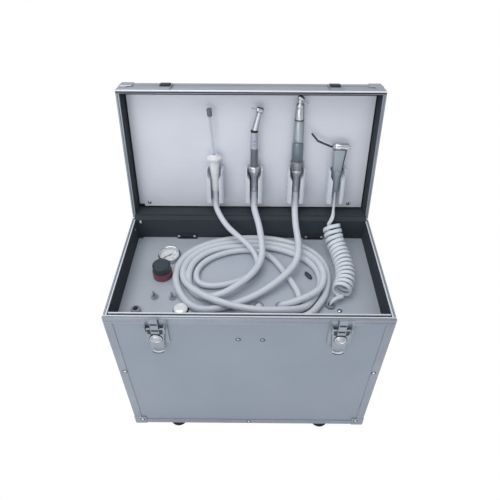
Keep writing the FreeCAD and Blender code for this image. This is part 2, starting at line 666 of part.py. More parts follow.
def lid_panel():
    """Instrument panel on four posts, and its screws, with the rivets of the lid corners."""
    face = box(-LID_PANEL_X, LID_PANEL_X, LID_PANEL_Q, LID_PANEL_Q + LID_PANEL_T, LID_PANEL_S0, LID_PANEL_S1)
    notch = box(-LID_PANEL_X, -LID_PANEL_X + CORNER_NOTCH, LID_PANEL_Q, LID_PANEL_Q + LID_PANEL_T,
                LID_PANEL_S0, LID_PANEL_S0 + CORNER_NOTCH / 2)
    posts = []
    post_top = LID_T - EDGE - BOARD
    for x in (-LID_SCREWS[1][0], LID_SCREWS[1][0]):
        for s in (17.5, 205.0):
            start = V(x, LID_PANEL_Q + LID_PANEL_T, s)
            posts.append(rod(start, Y_AXIS, 7, post_top - LID_PANEL_Q - LID_PANEL_T))
    save("lid_panel", leaned(joined([face.cut(notch)] + posts)))
    heads = [dome(V(x, LID_PANEL_Q, s), V(0, -1, 0), 3.4, 1.8) for x, s in LID_SCREWS]
    for x in LATCH_X:
        for dx in (-6, 6):
            heads.append(dome(V(x + dx, 24.0, CASE_D + 1.5), Z_AXIS, 2.2, 1.2))
    save("lid_fasteners", leaned(group(heads)))


def holder(x):
    """One instrument holder: a block with a slot open to the front, wider at the top."""
    low_q = LID_PANEL_Q - HOLDER_DEPTH
    block = box(x - HOLDER_W / 2, x + HOLDER_W / 2, low_q, LID_PANEL_Q, HOLDER_S0, HOLDER_S1)
    upright_edges = [e for e in block.Edges if abs(e.tangentAt(e.FirstParameter).z) > 0.9]
    front_edges = [e for e in upright_edges if e.CenterOfMass.y < low_q + 1]
    block = block.makeFillet(6.0, front_edges)
    slot = rod(V(x, AXIS_Q, HOLDER_S0), Z_AXIS, SLOT_R, HOLDER_S1)
    slot = slot.fuse(box(x - SLOT_R, x + SLOT_R, low_q, AXIS_Q, HOLDER_S0, HOLDER_S1))
    funnel = Part.makeCone(SLOT_R, FUNNEL_R, FUNNEL_S1 - FUNNEL_S0, V(x, AXIS_Q, FUNNEL_S0), Z_AXIS)
    throat = prism(
        [V(x - SLOT_R, low_q, FUNNEL_S0), V(x + SLOT_R, low_q, FUNNEL_S0),
         V(x + FUNNEL_R, low_q, FUNNEL_S1), V(x - FUNNEL_R, low_q, FUNNEL_S1)],
        V(0, AXIS_Q - low_q, 0),
    )
    mouth = rod(V(x, AXIS_Q, FUNNEL_S1), Z_AXIS, FUNNEL_R, HOLDER_S1 - FUNNEL_S1)
    mouth = mouth.fuse(box(x - FUNNEL_R, x + FUNNEL_R, low_q, AXIS_Q, FUNNEL_S1, HOLDER_S1))
    return block.cut(slot).cut(funnel).cut(throat).cut(mouth)


def instrument_outline(points, bore_r):
    """Closes an instrument's outer outline round the short bore that takes the end of its hose."""
    low = points[0][1]
    bore_top = TAIL_S + HOSE_IN_TAIL + BORE_GAP
    return tuple(points) + ((0, points[-1][1]), (0, bore_top), (bore_r, bore_top), (bore_r, low))


def suction_handle():
    """Saliva ejector: handle, turning shut-off collar, and clear tube with a strainer tip."""
    x = HOLDER_X[0]
    centre = V(x, AXIS_Q, 0)
    points = ((6.2, TAIL_S), (TAIL_R, TAIL_S + 10), (TAIL_R, CONE_S0), (8.2, CONE_S1), (8.2, 107.0))
    handle = turned(instrument_outline(points, SUCTION_R + BORE_GAP), centre)
    spigot = rod(V(x, AXIS_Q, 107), Z_AXIS, 4.0, 9)
    handle = joined([handle, spigot]).cut(rod(V(x, AXIS_Q, 90), Z_AXIS, 1.5, 30))
    save("ejector_handle", leaned(handle))
    collar = turned(((4.05, 107.3), (9.0, 107.3), (11.0, 109.5), (11.0, 112.5), (6.0, 118.0), (4.05, 118.0)), centre)
    save("ejector_collar", leaned(collar))
    lean = math.radians(-4.0)
    axis = V(math.sin(lean), 0, math.cos(lean))
    foot = V(x, AXIS_Q, 116.2)
    pipe = rod(foot, axis, 2.7, 70)
    tip = rod(foot + axis * 68, axis, 4.3, 13)
    pipe = joined([pipe, tip]).cut(rod(foot, axis, 1.7, 90))
    save("ejector_tube", leaned(pipe))


def turbine():
    """High-speed handpiece: hose coupling, grip, bent neck and head, with the bur in its chuck."""
    x = HOLDER_X[1]
    centre = V(x, AXIS_Q, 0)
    points = ((TAIL_R, TAIL_S), (TAIL_R, CONE_S0), (COLLAR_R - 1.0, CONE_S1), (COLLAR_R, CONE_S1 + 1),
              (COLLAR_R, 97.0), (6.6, 101.0), (6.0, 128.0), (5.7, 158.0), (6.0, 160.0), (5.2, 161.0))
    body = turned(instrument_outline(points, HOSE_R + BORE_GAP), centre)
    lean = math.radians(14.0)
    up = V(math.sin(lean), 0, math.cos(lean))
    across = V(math.cos(lean), 0, -math.sin(lean))
    elbow = V(x, AXIS_Q, 158.5)
    neck = Part.makeCone(5.2, 3.6, 36, elbow, up)
    middle = elbow + up * 37
    head = rod(middle - across * 6, across, 4.9, 12)
    bore = rod(middle - across * 7, across, 1.65, 11)
    save("turbine_handpiece", leaned(joined([body, neck, head]).cut(bore)))
    chuck = rod(middle - across * 6.2, across, 1.6, 9)
    shank = rod(middle - across * 14.5, across, 0.8, 9)
    save("turbine_bur", leaned(joined([chuck, shank])))
    return middle, across


def air_motor():
    """Low-speed motor with its speed ring, and the contra-angle with a bur on top."""
    x = HOLDER_X[2]
    centre = V(x, AXIS_Q, 0)
    points = ((TAIL_R, TAIL_S), (TAIL_R, CONE_S0), (COLLAR_R - 1.0, CONE_S1), (COLLAR_R - 0.4, 92.0),
              (8.6, 92.0), (8.6, 108.0), (9.7, 108.0), (9.7, 139.0), (7.0, 141.0), (4.0, 141.0), (4.0, 150.0))
    save("air_motor", leaned(turned(instrument_outline(points, HOSE_R + BORE_GAP), centre)))
    ring = turned(((8.65, 92.3), (10.7, 92.3), (10.9, 94.0), (10.9, 106.0), (10.7, 107.7), (8.65, 107.7)), centre)
    save("speed_ring", leaned(ring))
    sleeve = turned(((4.05, 141.3), (9.0, 141.3), (8.4, 176.0), (7.8, 179.0), (7.2, 196.0), (6.8, 203.0),
                     (4.4, 206.0), (4.2, 213.0), (0, 213.0), (0, 150.4), (4.05, 150.4)), centre)
    dip = math.radians(35.0)
    across = V(math.cos(dip), 0, -math.sin(dip))
    middle = V(x + 0.8, AXIS_Q, 214.5)
    head = rod(middle - across * 5, across, 4.1, 10)
    bore = rod(middle - across * 3, across, 1.65, 9)
    save("contra_angle", leaned(joined([sleeve, head]).cut(bore)))
    chuck = rod(middle - across * 2.8, across, 1.6, 8)
    shank = rod(middle + across * 5, across, 0.9, 10)
    save("contra_angle_bur", leaned(joined([chuck, shank])))
    return middle, across


def syringe():
    """Three-way syringe: tapered body with cross head, two sprung buttons, and a turning nozzle."""
    x = HOLDER_X[3]
    centre = V(x, AXIS_Q, 0)
    points = ((5.0, TAIL_S), (TAIL_R, TAIL_S + 6), (TAIL_R, CONE_S0), (8.4, CONE_S1), (8.4, 90.0))
    stem = turned(instrument_outline(points, LEAD_R + BORE_GAP), centre)
    wedge = prism(
        [V(x - 8.4, AXIS_Q - 8, 90), V(x + 8.4, AXIS_Q - 8, 90), V(x + 13, AXIS_Q - 8, 128),
         V(x - 9.5, AXIS_Q - 8, 128)],
        V(0, 16, 0),
    )
    edges = [e for e in wedge.Edges if abs(e.tangentAt(e.FirstParameter).z) > 0.8]
    wedge = wedge.makeFillet(4.0, edges)
    head = rod(V(x - 8, AXIS_Q, 133), X_AXIS, 6.6, 23)
    nut = rod(V(x - 11, AXIS_Q, 133), X_AXIS, 5.0, 3.5)
    body = joined([stem, wedge, head, nut])
    body = body.cut(rod(V(x - 12, AXIS_Q, 133), X_AXIS, 1.85, 14))
    buttons = []
    for dq, name in ((-3.2, "syringe_air_button"), (3.2, "syringe_water_button")):
        start = V(x + 9, AXIS_Q + dq, 133)
        body = body.cut(rod(start, X_AXIS, 2.2 + PIN_CLEARANCE, 8))
        buttons.append((name, rod(V(x + 12.5, AXIS_Q + dq, 133), X_AXIS, 2.2, 6.5)))
    save("syringe_body", leaned(body))
    for name, button in buttons:
        save(name, leaned(button))
    bend = V(x - 37.5, AXIS_Q, 143)
    tip = V(x - 48.5, AXIS_Q, 156)
    entry = V(x - 8, AXIS_Q, 133)
    start = V(x - 14, AXIS_Q, 133)
    inner = rod(start, X_AXIS, 1.8, 11)
    first = rod(start, bend - start, 1.8, (bend - start).Length)
    second = rod(bend, tip - bend, 1.7, (tip - bend).Length)
    knee = Part.makeSphere(1.8, bend)
    elbow = Part.makeSphere(1.8, start)
    save("syringe_nozzle", leaned(joined([inner, elbow, first, knee, second])))
    return entry


def instruments():
    save("instrument_holders", leaned(group([holder(x) for x in HOLDER_X])))
    suction_handle()
    turbine()
    air_motor()
    syringe()


def carry_handle():
    """Bail handle hung on two brackets outside the lid; it hangs plumb while the lid is open."""
    face = LID_T
    brackets = []
    for side in (-1, 1):
        x0, x1 = sorted((side * (HANDLE_HALF + 5.8), side * (HANDLE_HALF + 11.8)))
        bracket = box(x0, x1, face, HANDLE_Q + 6, HANDLE_S - 9, HANDLE_S + 9)
        p0, p1 = sorted((side * (HANDLE_HALF + 5.8), side * (HANDLE_HALF + 21.8)))
        plate = box(p0, p1, face, face + 2, HANDLE_S - 9, HANDLE_S + 9)
        bracket = joined([bracket, plate])
        bore = rod(V(x0 - 1, HANDLE_Q, HANDLE_S), X_AXIS, 3.0 + PIN_CLEARANCE, 8)
        brackets.append(bracket.cut(bore))
    save("handle_brackets", leaned(group(brackets)))
    pivot = lid_point(0, HANDLE_S, HANDLE_Q)
    drop = HANDLE_DROP
    parts = []
    for side in (-1, 1):
        x0, x1 = sorted((side * HANDLE_HALF, side * (HANDLE_HALF + 5.4)))
        parts.append(box(x0, x1, pivot.y - 4.5, pivot.y + 4.5, pivot.z - drop, pivot.z))
        parts.append(rod(V(x0, pivot.y, pivot.z), X_AXIS, 4.5, 5.4))
        p0, p1 = sorted((side * HANDLE_HALF, side * (HANDLE_HALF + 11.8)))
        parts.append(rod(V(p0, pivot.y, pivot.z), X_AXIS, 3.0, p1 - p0))
    parts.append(rod(V(-HANDLE_HALF - 5.4, pivot.y, pivot.z - drop), X_AXIS, HANDLE_R, 2 * HANDLE_HALF + 10.8))
    save("carry_handle", joined(parts))


def rounded_path(points):
    """Straight runs joined by arcs that meet them smoothly; also gives its length and its radii."""
    edges = []
    radii = []
    length = 0.0
    here = points[0]
    for before, corner, after in zip(points, points[1:], points[2:]):
        back = before - corner
        ahead = after - corner
        run = min(back.Length, ahead.Length)
        back.normalize()
        ahead.normalize()
        turn = math.pi - back.getAngle(ahead)
        reach = 0.45 * run
        radius = reach / math.tan(turn / 2)
        start = corner + back * reach
        end = corner + ahead * reach
        inward = back + ahead
        inward.normalize()
        middle = corner + inward * (radius / math.cos(turn / 2) - radius)
        edges.append(Part.LineSegment(here, start).toShape())
        edges.append(Part.Arc(start, middle, end).toShape())
        length += (start - here).Length + radius * turn
        radii.append(round(radius, 1))
        here = end
    edges.append(Part.LineSegment(here, points[-1]).toShape())
    length += (points[-1] - here).Length
    return Part.Wire(edges), length, radii


def swept(name, points, radius):
    """A round hose along a rounded path."""
    path, length, radii = rounded_path(points)
    first = points[1] - points[0]
    section = Part.Wire([Part.makeCircle(radius, points[0], first)])
    solid = path.makePipeShell([section], True, True, 2)
    share = solid.Volume / (math.pi * radius * radius * length)
    print("  ", name, "length", round(length, 1), "radii", radii, "volume share", round(share, 4))
    return solid


def hose_start(x):
    """The first three points of a hose: in the instrument's tail, then bending out over the rims."""
    return [lid_point(x, TAIL_S + HOSE_IN_TAIL, AXIS_Q), lid_point(x, 35.0, AXIS_Q), V(x, 237.8, 336.5)]


SUCTION_ROUTE = ((-45, 209, 321), (-24, 195, 308), (-3, 181, 298), (11, 164, 288), (15, 145, 283),
                 (7, 125, 283), (-14, 109, 283), (-42, 98, 283), (-70, 95, 283))
TURBINE_ROUTE = ((16, 209, 320), (20, 182, 309), (22, 161, 302), (18, 138, 297), (6, 114, 296),
                 (-15, 92, 294), (-40, 74, 291))
MOTOR_ROUTE = ((81, 209, 320), (85, 182, 309), (84, 157, 305), (78, 135, 299), (63, 115, 296),
               (38, 91, 291), (4, 68, 287))
LEAD_ROUTE = ((148, 216, 329), (145, 203, 320))
CURL_ROUTE = ((145, 206, 322), (148, 190, 308), (156, 168, 297), (161, 138, 294.5), (160, 108, 294.5),
              (150, 80, 294.5), (131, 61, 294.5))


def hoses():
    """The hank of the three smooth hoses, the stretches that hang from the lid, and the curly hose."""
    x, y = COIL_CENTRE
    top = PANEL_Z + COIL_H
    rings = []
    for half_x, half_y in (COIL_OUTER, COIL_INNER):
        curve = Part.Ellipse(V(x, y, PANEL_Z), half_x, half_y).toShape()
        face = Part.Face(Part.Wire([curve]))
        rings.append(face.extrude(V(0, 0, top - PANEL_Z)))
    hank = rings[0].cut(rings[1])
    socket_room = [rod(V(gx, gy, PANEL_Z), Z_AXIS, r + GLAND_WALL + 0.6, GLAND_H) for gx, gy, r in GLANDS]
    hank = hank.cut(group(socket_room))
    save("hose_hank", hank)
    routes = (("suction_hose", 0, SUCTION_ROUTE, SUCTION_R), ("turbine_hose", 1, TURBINE_ROUTE, HOSE_R),
              ("motor_hose", 2, MOTOR_ROUTE, HOSE_R))
    for name, slot, route, radius in routes:
        points = hose_start(HOLDER_X[slot]) + [V(*p) for p in route]
        save(name, swept(name, points, radius))
    lead = hose_start(HOLDER_X[3]) + [V(*p) for p in LEAD_ROUTE]
    save("syringe_lead", swept("syringe_lead", lead, LEAD_R))
    save("syringe_hose", swept("syringe_hose", [V(*p) for p in CURL_ROUTE], CURL_R))


def main():
    os.makedirs("parts", exist_ok=True)
    case_shell()
    rubber_feet()
    case_fasteners()
    hinges()
    latches()
    control_panel()
    gauge()
    regulator()
    toggles()
    filler_cap()
    panel_sockets()
    compressor()
    tank_and_bottles()
    valve_block()
    power_inlet()
    lid_shell()
    lid_panel()
    instruments()
    carry_handle()
    hoses()


if __name__ == "__main__":
    main()
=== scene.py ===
import json
import math
import bpy
import bmesh
from mathutils import Matrix, Vector


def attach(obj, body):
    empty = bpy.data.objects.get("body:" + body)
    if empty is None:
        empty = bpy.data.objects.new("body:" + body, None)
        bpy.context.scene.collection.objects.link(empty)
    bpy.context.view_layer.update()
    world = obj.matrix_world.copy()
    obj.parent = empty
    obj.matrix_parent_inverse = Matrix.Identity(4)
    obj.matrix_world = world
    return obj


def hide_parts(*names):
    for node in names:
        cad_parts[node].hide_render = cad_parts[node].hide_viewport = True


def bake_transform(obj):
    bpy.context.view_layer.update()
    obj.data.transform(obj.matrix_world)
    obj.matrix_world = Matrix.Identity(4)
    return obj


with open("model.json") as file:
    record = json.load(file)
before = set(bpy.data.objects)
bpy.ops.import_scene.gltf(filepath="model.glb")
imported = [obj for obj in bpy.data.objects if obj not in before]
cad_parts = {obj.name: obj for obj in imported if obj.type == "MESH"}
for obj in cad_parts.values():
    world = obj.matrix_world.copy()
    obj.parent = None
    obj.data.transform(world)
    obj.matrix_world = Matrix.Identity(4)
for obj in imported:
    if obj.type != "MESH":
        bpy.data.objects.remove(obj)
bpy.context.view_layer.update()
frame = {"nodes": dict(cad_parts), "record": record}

# A portable dental unit: flight case, control panel, instruments in the lid, coiled hoses.
# Distances are millimetres of the case frame (x right, y from the front face back, z up from the
# underside of the case) until place() turns them into metres of the part's frame.

# The part's origin: on the floor, behind the case's front face and above the soles of its feet.
Y_CENTRE = 155.5
FOOT_H = 14.0

# Case and lid: outer sizes, board with its facing, the two panels, and the line that the rims meet at.
CASE_W = 430.0
CASE_D = 229.0
CASE_H = 319.0
LID_LEAN = math.radians(10.95)
EDGE = 1.0
BOARD = 5.0
INNER_X = CASE_W / 2 - EDGE - BOARD
INNER_Y0 = EDGE + BOARD
INNER_Y1 = CASE_D - EDGE - BOARD
PANEL_Z = CASE_H - 42.0
LID_PANEL_Q = 28.0
RIM_GAP = 0.4
HINGE_X = 117.0

# Instruments hang in a row in the lid: their axes' depth, places across, and the lower end of their tails.
AXIS_Q = 13.0
HOLDER_X = (-63.0, 6.0, 80.3, 151.0)
TAIL_S = 50.0

# Places of the small fittings.
SIDES = ("left", "right")
LATCH_X = (-139.2, 136.5)
GAUGE = (-144.0, 171.0)
GAUGE_R = 20.0
FILLER = (-109.5, 49.0)
FRONT_RIVETS = ((-16.8, 1.0, 267.5), (20.6, 1.0, 266.4))
TRIM_SCREWS = ((-206.0, 0.0, 177.0), (206.0, 0.0, 178.0), (-201.0, -1.6, 15.0), (201.0, -1.6, 15.0),
               (-0.5, 0.0, 7.0))
FEET = ((-136.0, 17.0, 0.0), (136.0, 17.0, 0.0), (-136.0, 212.0, 0.0), (136.0, 212.0, 0.0))


def place(x, y, z):
    """Millimetres of the case frame to metres of the part's frame."""
    return Vector((x, y - Y_CENTRE, z + FOOT_H)) / 1000


def lid_place(x, s, q):
    """A point of the open lid: s up the lid from its hinge, q out through its back."""
    y = CASE_D + s * math.sin(LID_LEAN) + q * math.cos(LID_LEAN)
    z = CASE_H + s * math.cos(LID_LEAN) - q * math.sin(LID_LEAN)
    return place(x, y, z)


# ---------------- camera and light

CAMERA_AT = (3.0, -413.7, 853.1)
CAMERA_DOWN = math.radians(41.433)
CAMERA_YAW = math.radians(-0.31)
CAMERA_ROLL = math.radians(0.195)
CAMERA_LENS = 32.91
CAMERA_SHIFT_Y = -0.0363


def add_camera():
    """The camera in front of the case and above it, looking down into it."""
    ahead = Vector((math.sin(CAMERA_YAW) * math.cos(CAMERA_DOWN),
                    math.cos(CAMERA_YAW) * math.cos(CAMERA_DOWN), -math.sin(CAMERA_DOWN)))
    level = Vector((math.cos(CAMERA_YAW), -math.sin(CAMERA_YAW), 0))
    above = level.cross(ahead)
    right = level * math.cos(CAMERA_ROLL) + above * math.sin(CAMERA_ROLL)
    above = above * math.cos(CAMERA_ROLL) - level * math.sin(CAMERA_ROLL)
    turn = Matrix((right, above, -ahead)).transposed().to_4x4()
    lens = bpy.data.cameras.new("camera")
    lens.sensor_width = 36.0
    lens.lens = CAMERA_LENS
    lens.shift_y = CAMERA_SHIFT_Y
    camera = bpy.data.objects.new("camera", lens)
    bpy.context.collection.objects.link(camera)
    camera.matrix_world = Matrix.Translation(place(*CAMERA_AT)) @ turn
    bpy.context.scene.camera = camera


def add_lamp(name, at, towards, size, power):
    """One soft square lamp, aimed at a point."""
    data = bpy.data.lights.new(name, "AREA")
    data.shape = "SQUARE"
    data.size = size
    data.energy = power
    lamp = bpy.data.objects.new(name, data)
    bpy.context.collection.objects.link(lamp)
    lamp.location = at
    lamp.rotation_euler = (Vector(towards) - Vector(at)).to_track_quat("-Z", "Y").to_euler()


LAMPS = (("lamp_above", (-0.5, -0.2, 2.1), (0, 0, 0.3), 1.5, 17.0),
         ("lamp_front", (-1.0, -1.9, 1.1), (0, 0, 0.25), 1.3, 9.0),
         ("lamp_low", (0.1, -1.3, 0.15), (0, -0.15, 0.04), 0.7, 1.4))
WORLD_GLOW = 0.62


def add_light():
    """A pale world, a big lamp above, a weaker one in front to the left and a faint one low in front."""
    for lamp in LAMPS:
        add_lamp(*lamp)
    world = bpy.data.worlds.new("studio")
    bpy.context.scene.world = world
    world.use_nodes = True
    tree = world.node_tree
    tree.nodes.clear()
    rays = add(tree, "ShaderNodeLightPath")
    seen = add(tree, "ShaderNodeMath", {
        0: rays.outputs["Is Camera Ray"], 1: rays.outputs["Is Transmission Ray"]}, operation="MAXIMUM")
    glow = add(tree, "ShaderNodeBackground", {"Color": shade("eef1f5"), "Strength": WORLD_GLOW})
    backdrop = add(tree, "ShaderNodeBackground", {"Color": (1, 1, 1, 1), "Strength": 1.0})
    both = add(tree, "ShaderNodeMixShader", {
        0: seen.outputs[0], 1: glow.outputs[0], 2: backdrop.outputs[0]})
    add(tree, "ShaderNodeOutputWorld", {"Surface": both.outputs[0]})


# ---------------- material tools

def shade(hex_code):
    """An sRGB hex colour as Blender's linear colour."""
    parts = [int(hex_code[i:i + 2], 16) / 255 for i in (0, 2, 4)]
    linear = [c / 12.92 if c <= 0.04045 else ((c + 0.055) / 1.055) ** 2.4 for c in parts]
    return (*linear, 1.0)


def add(tree, kind, inputs=None, **settings):
    """Adds a node with its settings, its input values and its incoming links."""
    made = tree.nodes.new(kind)
    for name, value in settings.items():
        setattr(made, name, value)
    for name, value in (inputs or {}).items():
        if isinstance(value, bpy.types.NodeSocket):
            tree.links.new(value, made.inputs[name])
        else:
            made.inputs[name].default_value = value
    return made


def empty_material(name):
    """A material with its node tree cleared."""
    material = bpy.data.materials.new(name)
    material.use_nodes = True
    material.node_tree.nodes.clear()
    return material, material.node_tree


def per_mm(size):
    """Texture scale for a feature of this size in millimetres, on coordinates in metres."""
    return 1000.0 / size


def close_material(material, values, height=None, strength=0.0, depth_mm=0.0):
    """Ends a material in a surface of these values; where a height is given, it raises fine bumps."""
    tree = material.node_tree
    if height is not None:
        bump = add(tree, "ShaderNodeBump", {
            "Height": height, "Strength": strength, "Distance": depth_mm / 1000})
        values["Normal"] = bump.outputs[0]
    skin = add(tree, "ShaderNodeBsdfPrincipled", values)
    add(tree, "ShaderNodeOutputMaterial", {"Surface": skin.outputs[0]})
    return material


# ---------------- materials

def grained(name, low, high, rough, grain, raised, depth_mm, cloud=None, spread=None, stretch=None,
            values=None):
    """A surface with a fine grain, which spreads its roughness and raises it in bumps.

    The colour goes from low to high with the grain, or with the cloud where there is one, or with both
    where a spread is given. Grain: a size in mm, a detail and a roughness. Cloud: a size and a detail.
    """
    material, tree = empty_material(name)
    where = add(tree, "ShaderNodeTexCoord").outputs["Object"]
    along = where
    if stretch:
        along = add(tree, "ShaderNodeMapping", {"Vector": where, "Scale": stretch}).outputs[0]
    size, detail, uneven = grain
    share = fine = add(tree, "ShaderNodeTexNoise", {
        "Vector": along, "Scale": per_mm(size), "Detail": detail, "Roughness": uneven}).outputs["Fac"]
    if cloud:
        share = add(tree, "ShaderNodeTexNoise", {
            "Vector": where, "Scale": per_mm(cloud[0]), "Detail": cloud[1]}).outputs["Fac"]
    if spread:
        mixed = add(tree, "ShaderNodeMath", {0: fine, 1: share}, operation="ADD").outputs[0]
        share = add(tree, "ShaderNodeMapRange", {
            "Value": mixed, "From Min": 1.0 - spread, "From Max": 1.0 + spread}).outputs[0]
    colour = add(tree, "ShaderNodeMix", {0: share, 6: shade(low), 7: shade(high)}, data_type="RGBA")
    gloss = add(tree, "ShaderNodeMapRange", {"Value": fine, "To Min": rough[0], "To Max": rough[1]})
    values = {"Base Color": colour.outputs[2], "Roughness": gloss.outputs[0], **(values or {})}
    return close_material(material, values, fine, raised, depth_mm)


def faced_board(name, low, high):
    """Aluminium-faced board, rolled satin: a fine grain that catches the light a little unevenly."""
    return grained(name, low, high, rough=(0.4, 0.55), grain=(1.4, 3.0, 0.6), raised=0.1, depth_mm=0.3,
                   cloud=(120.0, 2.0), spread=0.3, values={"Metallic": 0.2})


def brushed_sheet(name, low, high, metallic, rough_from, stretch):
    """Brushed and anodised aluminium sheet: fine scratches along one direction."""
    return grained(name, low, high, rough=(rough_from, rough_from + 0.16), grain=(1.0, 4.0, 0.5),
                   raised=0.12, depth_mm=0.2, cloud=(70.0, 1.0), spread=0.35, stretch=stretch,
                   values={"Metallic": metallic})


def moulded(name, low, high, rough, grain_mm, depth_mm, specular=0.5):
    """Moulded plastic or rubber: a fine spark-eroded grain, barely uneven in colour."""
    return grained(name, low, high, rough=(rough - 0.06, rough + 0.08), grain=(grain_mm, 4.0, 0.5),
                   raised=0.3, depth_mm=depth_mm, values={"Specular IOR Level": specular})


def silicone_hose(name, low, high):
    """Grey silicone tubing: soft sheen, and slow changes of tone along its length."""
    return grained(name, low, high, rough=(0.4, 0.5), grain=(1.0, 2.0, 0.5), raised=0.08, depth_mm=0.2,
                   cloud=(35.0, 2.0),
                   values={"Subsurface Weight": 0.05, "Subsurface Radius": (0.004, 0.004, 0.004)})


def bright_plating(name, low, high, rough_from):
    """Polished nickel or chrome plate: mirror-bright, faintly smeared, with a painted dark reflection where
    it turns away.
    """
    material, tree = empty_material(name)
    where = add(tree, "ShaderNodeTexCoord").outputs["Object"]
    noise = add(tree, "ShaderNodeTexNoise", {"Vector": where, "Scale": per_mm(9.0), "Detail": 3.0})
    smear = noise.outputs["Fac"]
    rough = add(tree, "ShaderNodeMapRange", {
        "Value": smear, "To Min": rough_from, "To Max": rough_from + 0.14})
    tint = add(tree, "ShaderNodeMix", {0: smear, 6: shade(low), 7: shade(high)}, data_type="RGBA")
    # Painted reflection: the colour darkens towards the edges that turn away, for the darker room that a
    # mirror shows there.
    turned = add(tree, "ShaderNodeLayerWeight", {"Blend": 0.5})
    painted_dark_edge = add(tree, "ShaderNodeMapRange", {
        "Value": turned.outputs["Facing"], "From Min": 0.3, "From Max": 0.85, "To Max": 0.8})
    colour = add(tree, "ShaderNodeMix", {
        0: painted_dark_edge.outputs[0], 6: tint.outputs[2], 7: shade("2a2e34")}, data_type="RGBA")
    return close_material(material, {
        "Base Color": colour.outputs[2], "Roughness": rough.outputs[0], "Metallic": 1.0})


def knurled_steel(name, low, high, cell_mm):
    """Knurled steel: bright crests between cut grooves, which are painted dark as their shade. The cells
    are coarser than a real knurl's.
    """
    material, tree = empty_material(name)
    where = add(tree, "ShaderNodeTexCoord").outputs["Object"]
    cells = add(tree, "ShaderNodeTexChecker", {"Vector": where, "Scale": per_mm(cell_mm)}).outputs["Fac"]
    wear = add(tree, "ShaderNodeTexNoise", {"Vector": where, "Scale": per_mm(2.0), "Detail": 2.0})
    both = add(tree, "ShaderNodeMath", {0: cells, 1: wear.outputs["Fac"]}, operation="MULTIPLY")
    # Painted shade: the grooves between the crests are coloured dark.
    crest_and_groove_shade = add(tree, "ShaderNodeMapRange", {"Value": both.outputs[0], "From Max": 0.6}).outputs[0]
    colour = add(tree, "ShaderNodeMix", {0: crest_and_groove_shade, 6: shade(low), 7: shade(high)}, data_type="RGBA")
    values = {"Base Color": colour.outputs[2], "Roughness": 0.28, "Metallic": 0.7}
    return close_material(material, values, cells, 0.4, 0.3)


def clear(name, hex_code, alpha, rough):
    """Clear plastic or glass, seen through with a little of its own tint."""
    material, tree = empty_material(name)
    where = add(tree, "ShaderNodeTexCoord").outputs["Object"]
    haze = add(tree, "ShaderNodeTexNoise", {"Vector": where, "Scale": per_mm(14.0), "Detail": 2.0})
    spread = add(tree, "ShaderNodeMapRange", {
        "Value": haze.outputs["Fac"], "To Min": rough, "To Max": rough + 0.08})
    return close_material(material, {
        "Base Color": shade(hex_code), "Alpha": alpha, "Roughness": spread.outputs[0]})


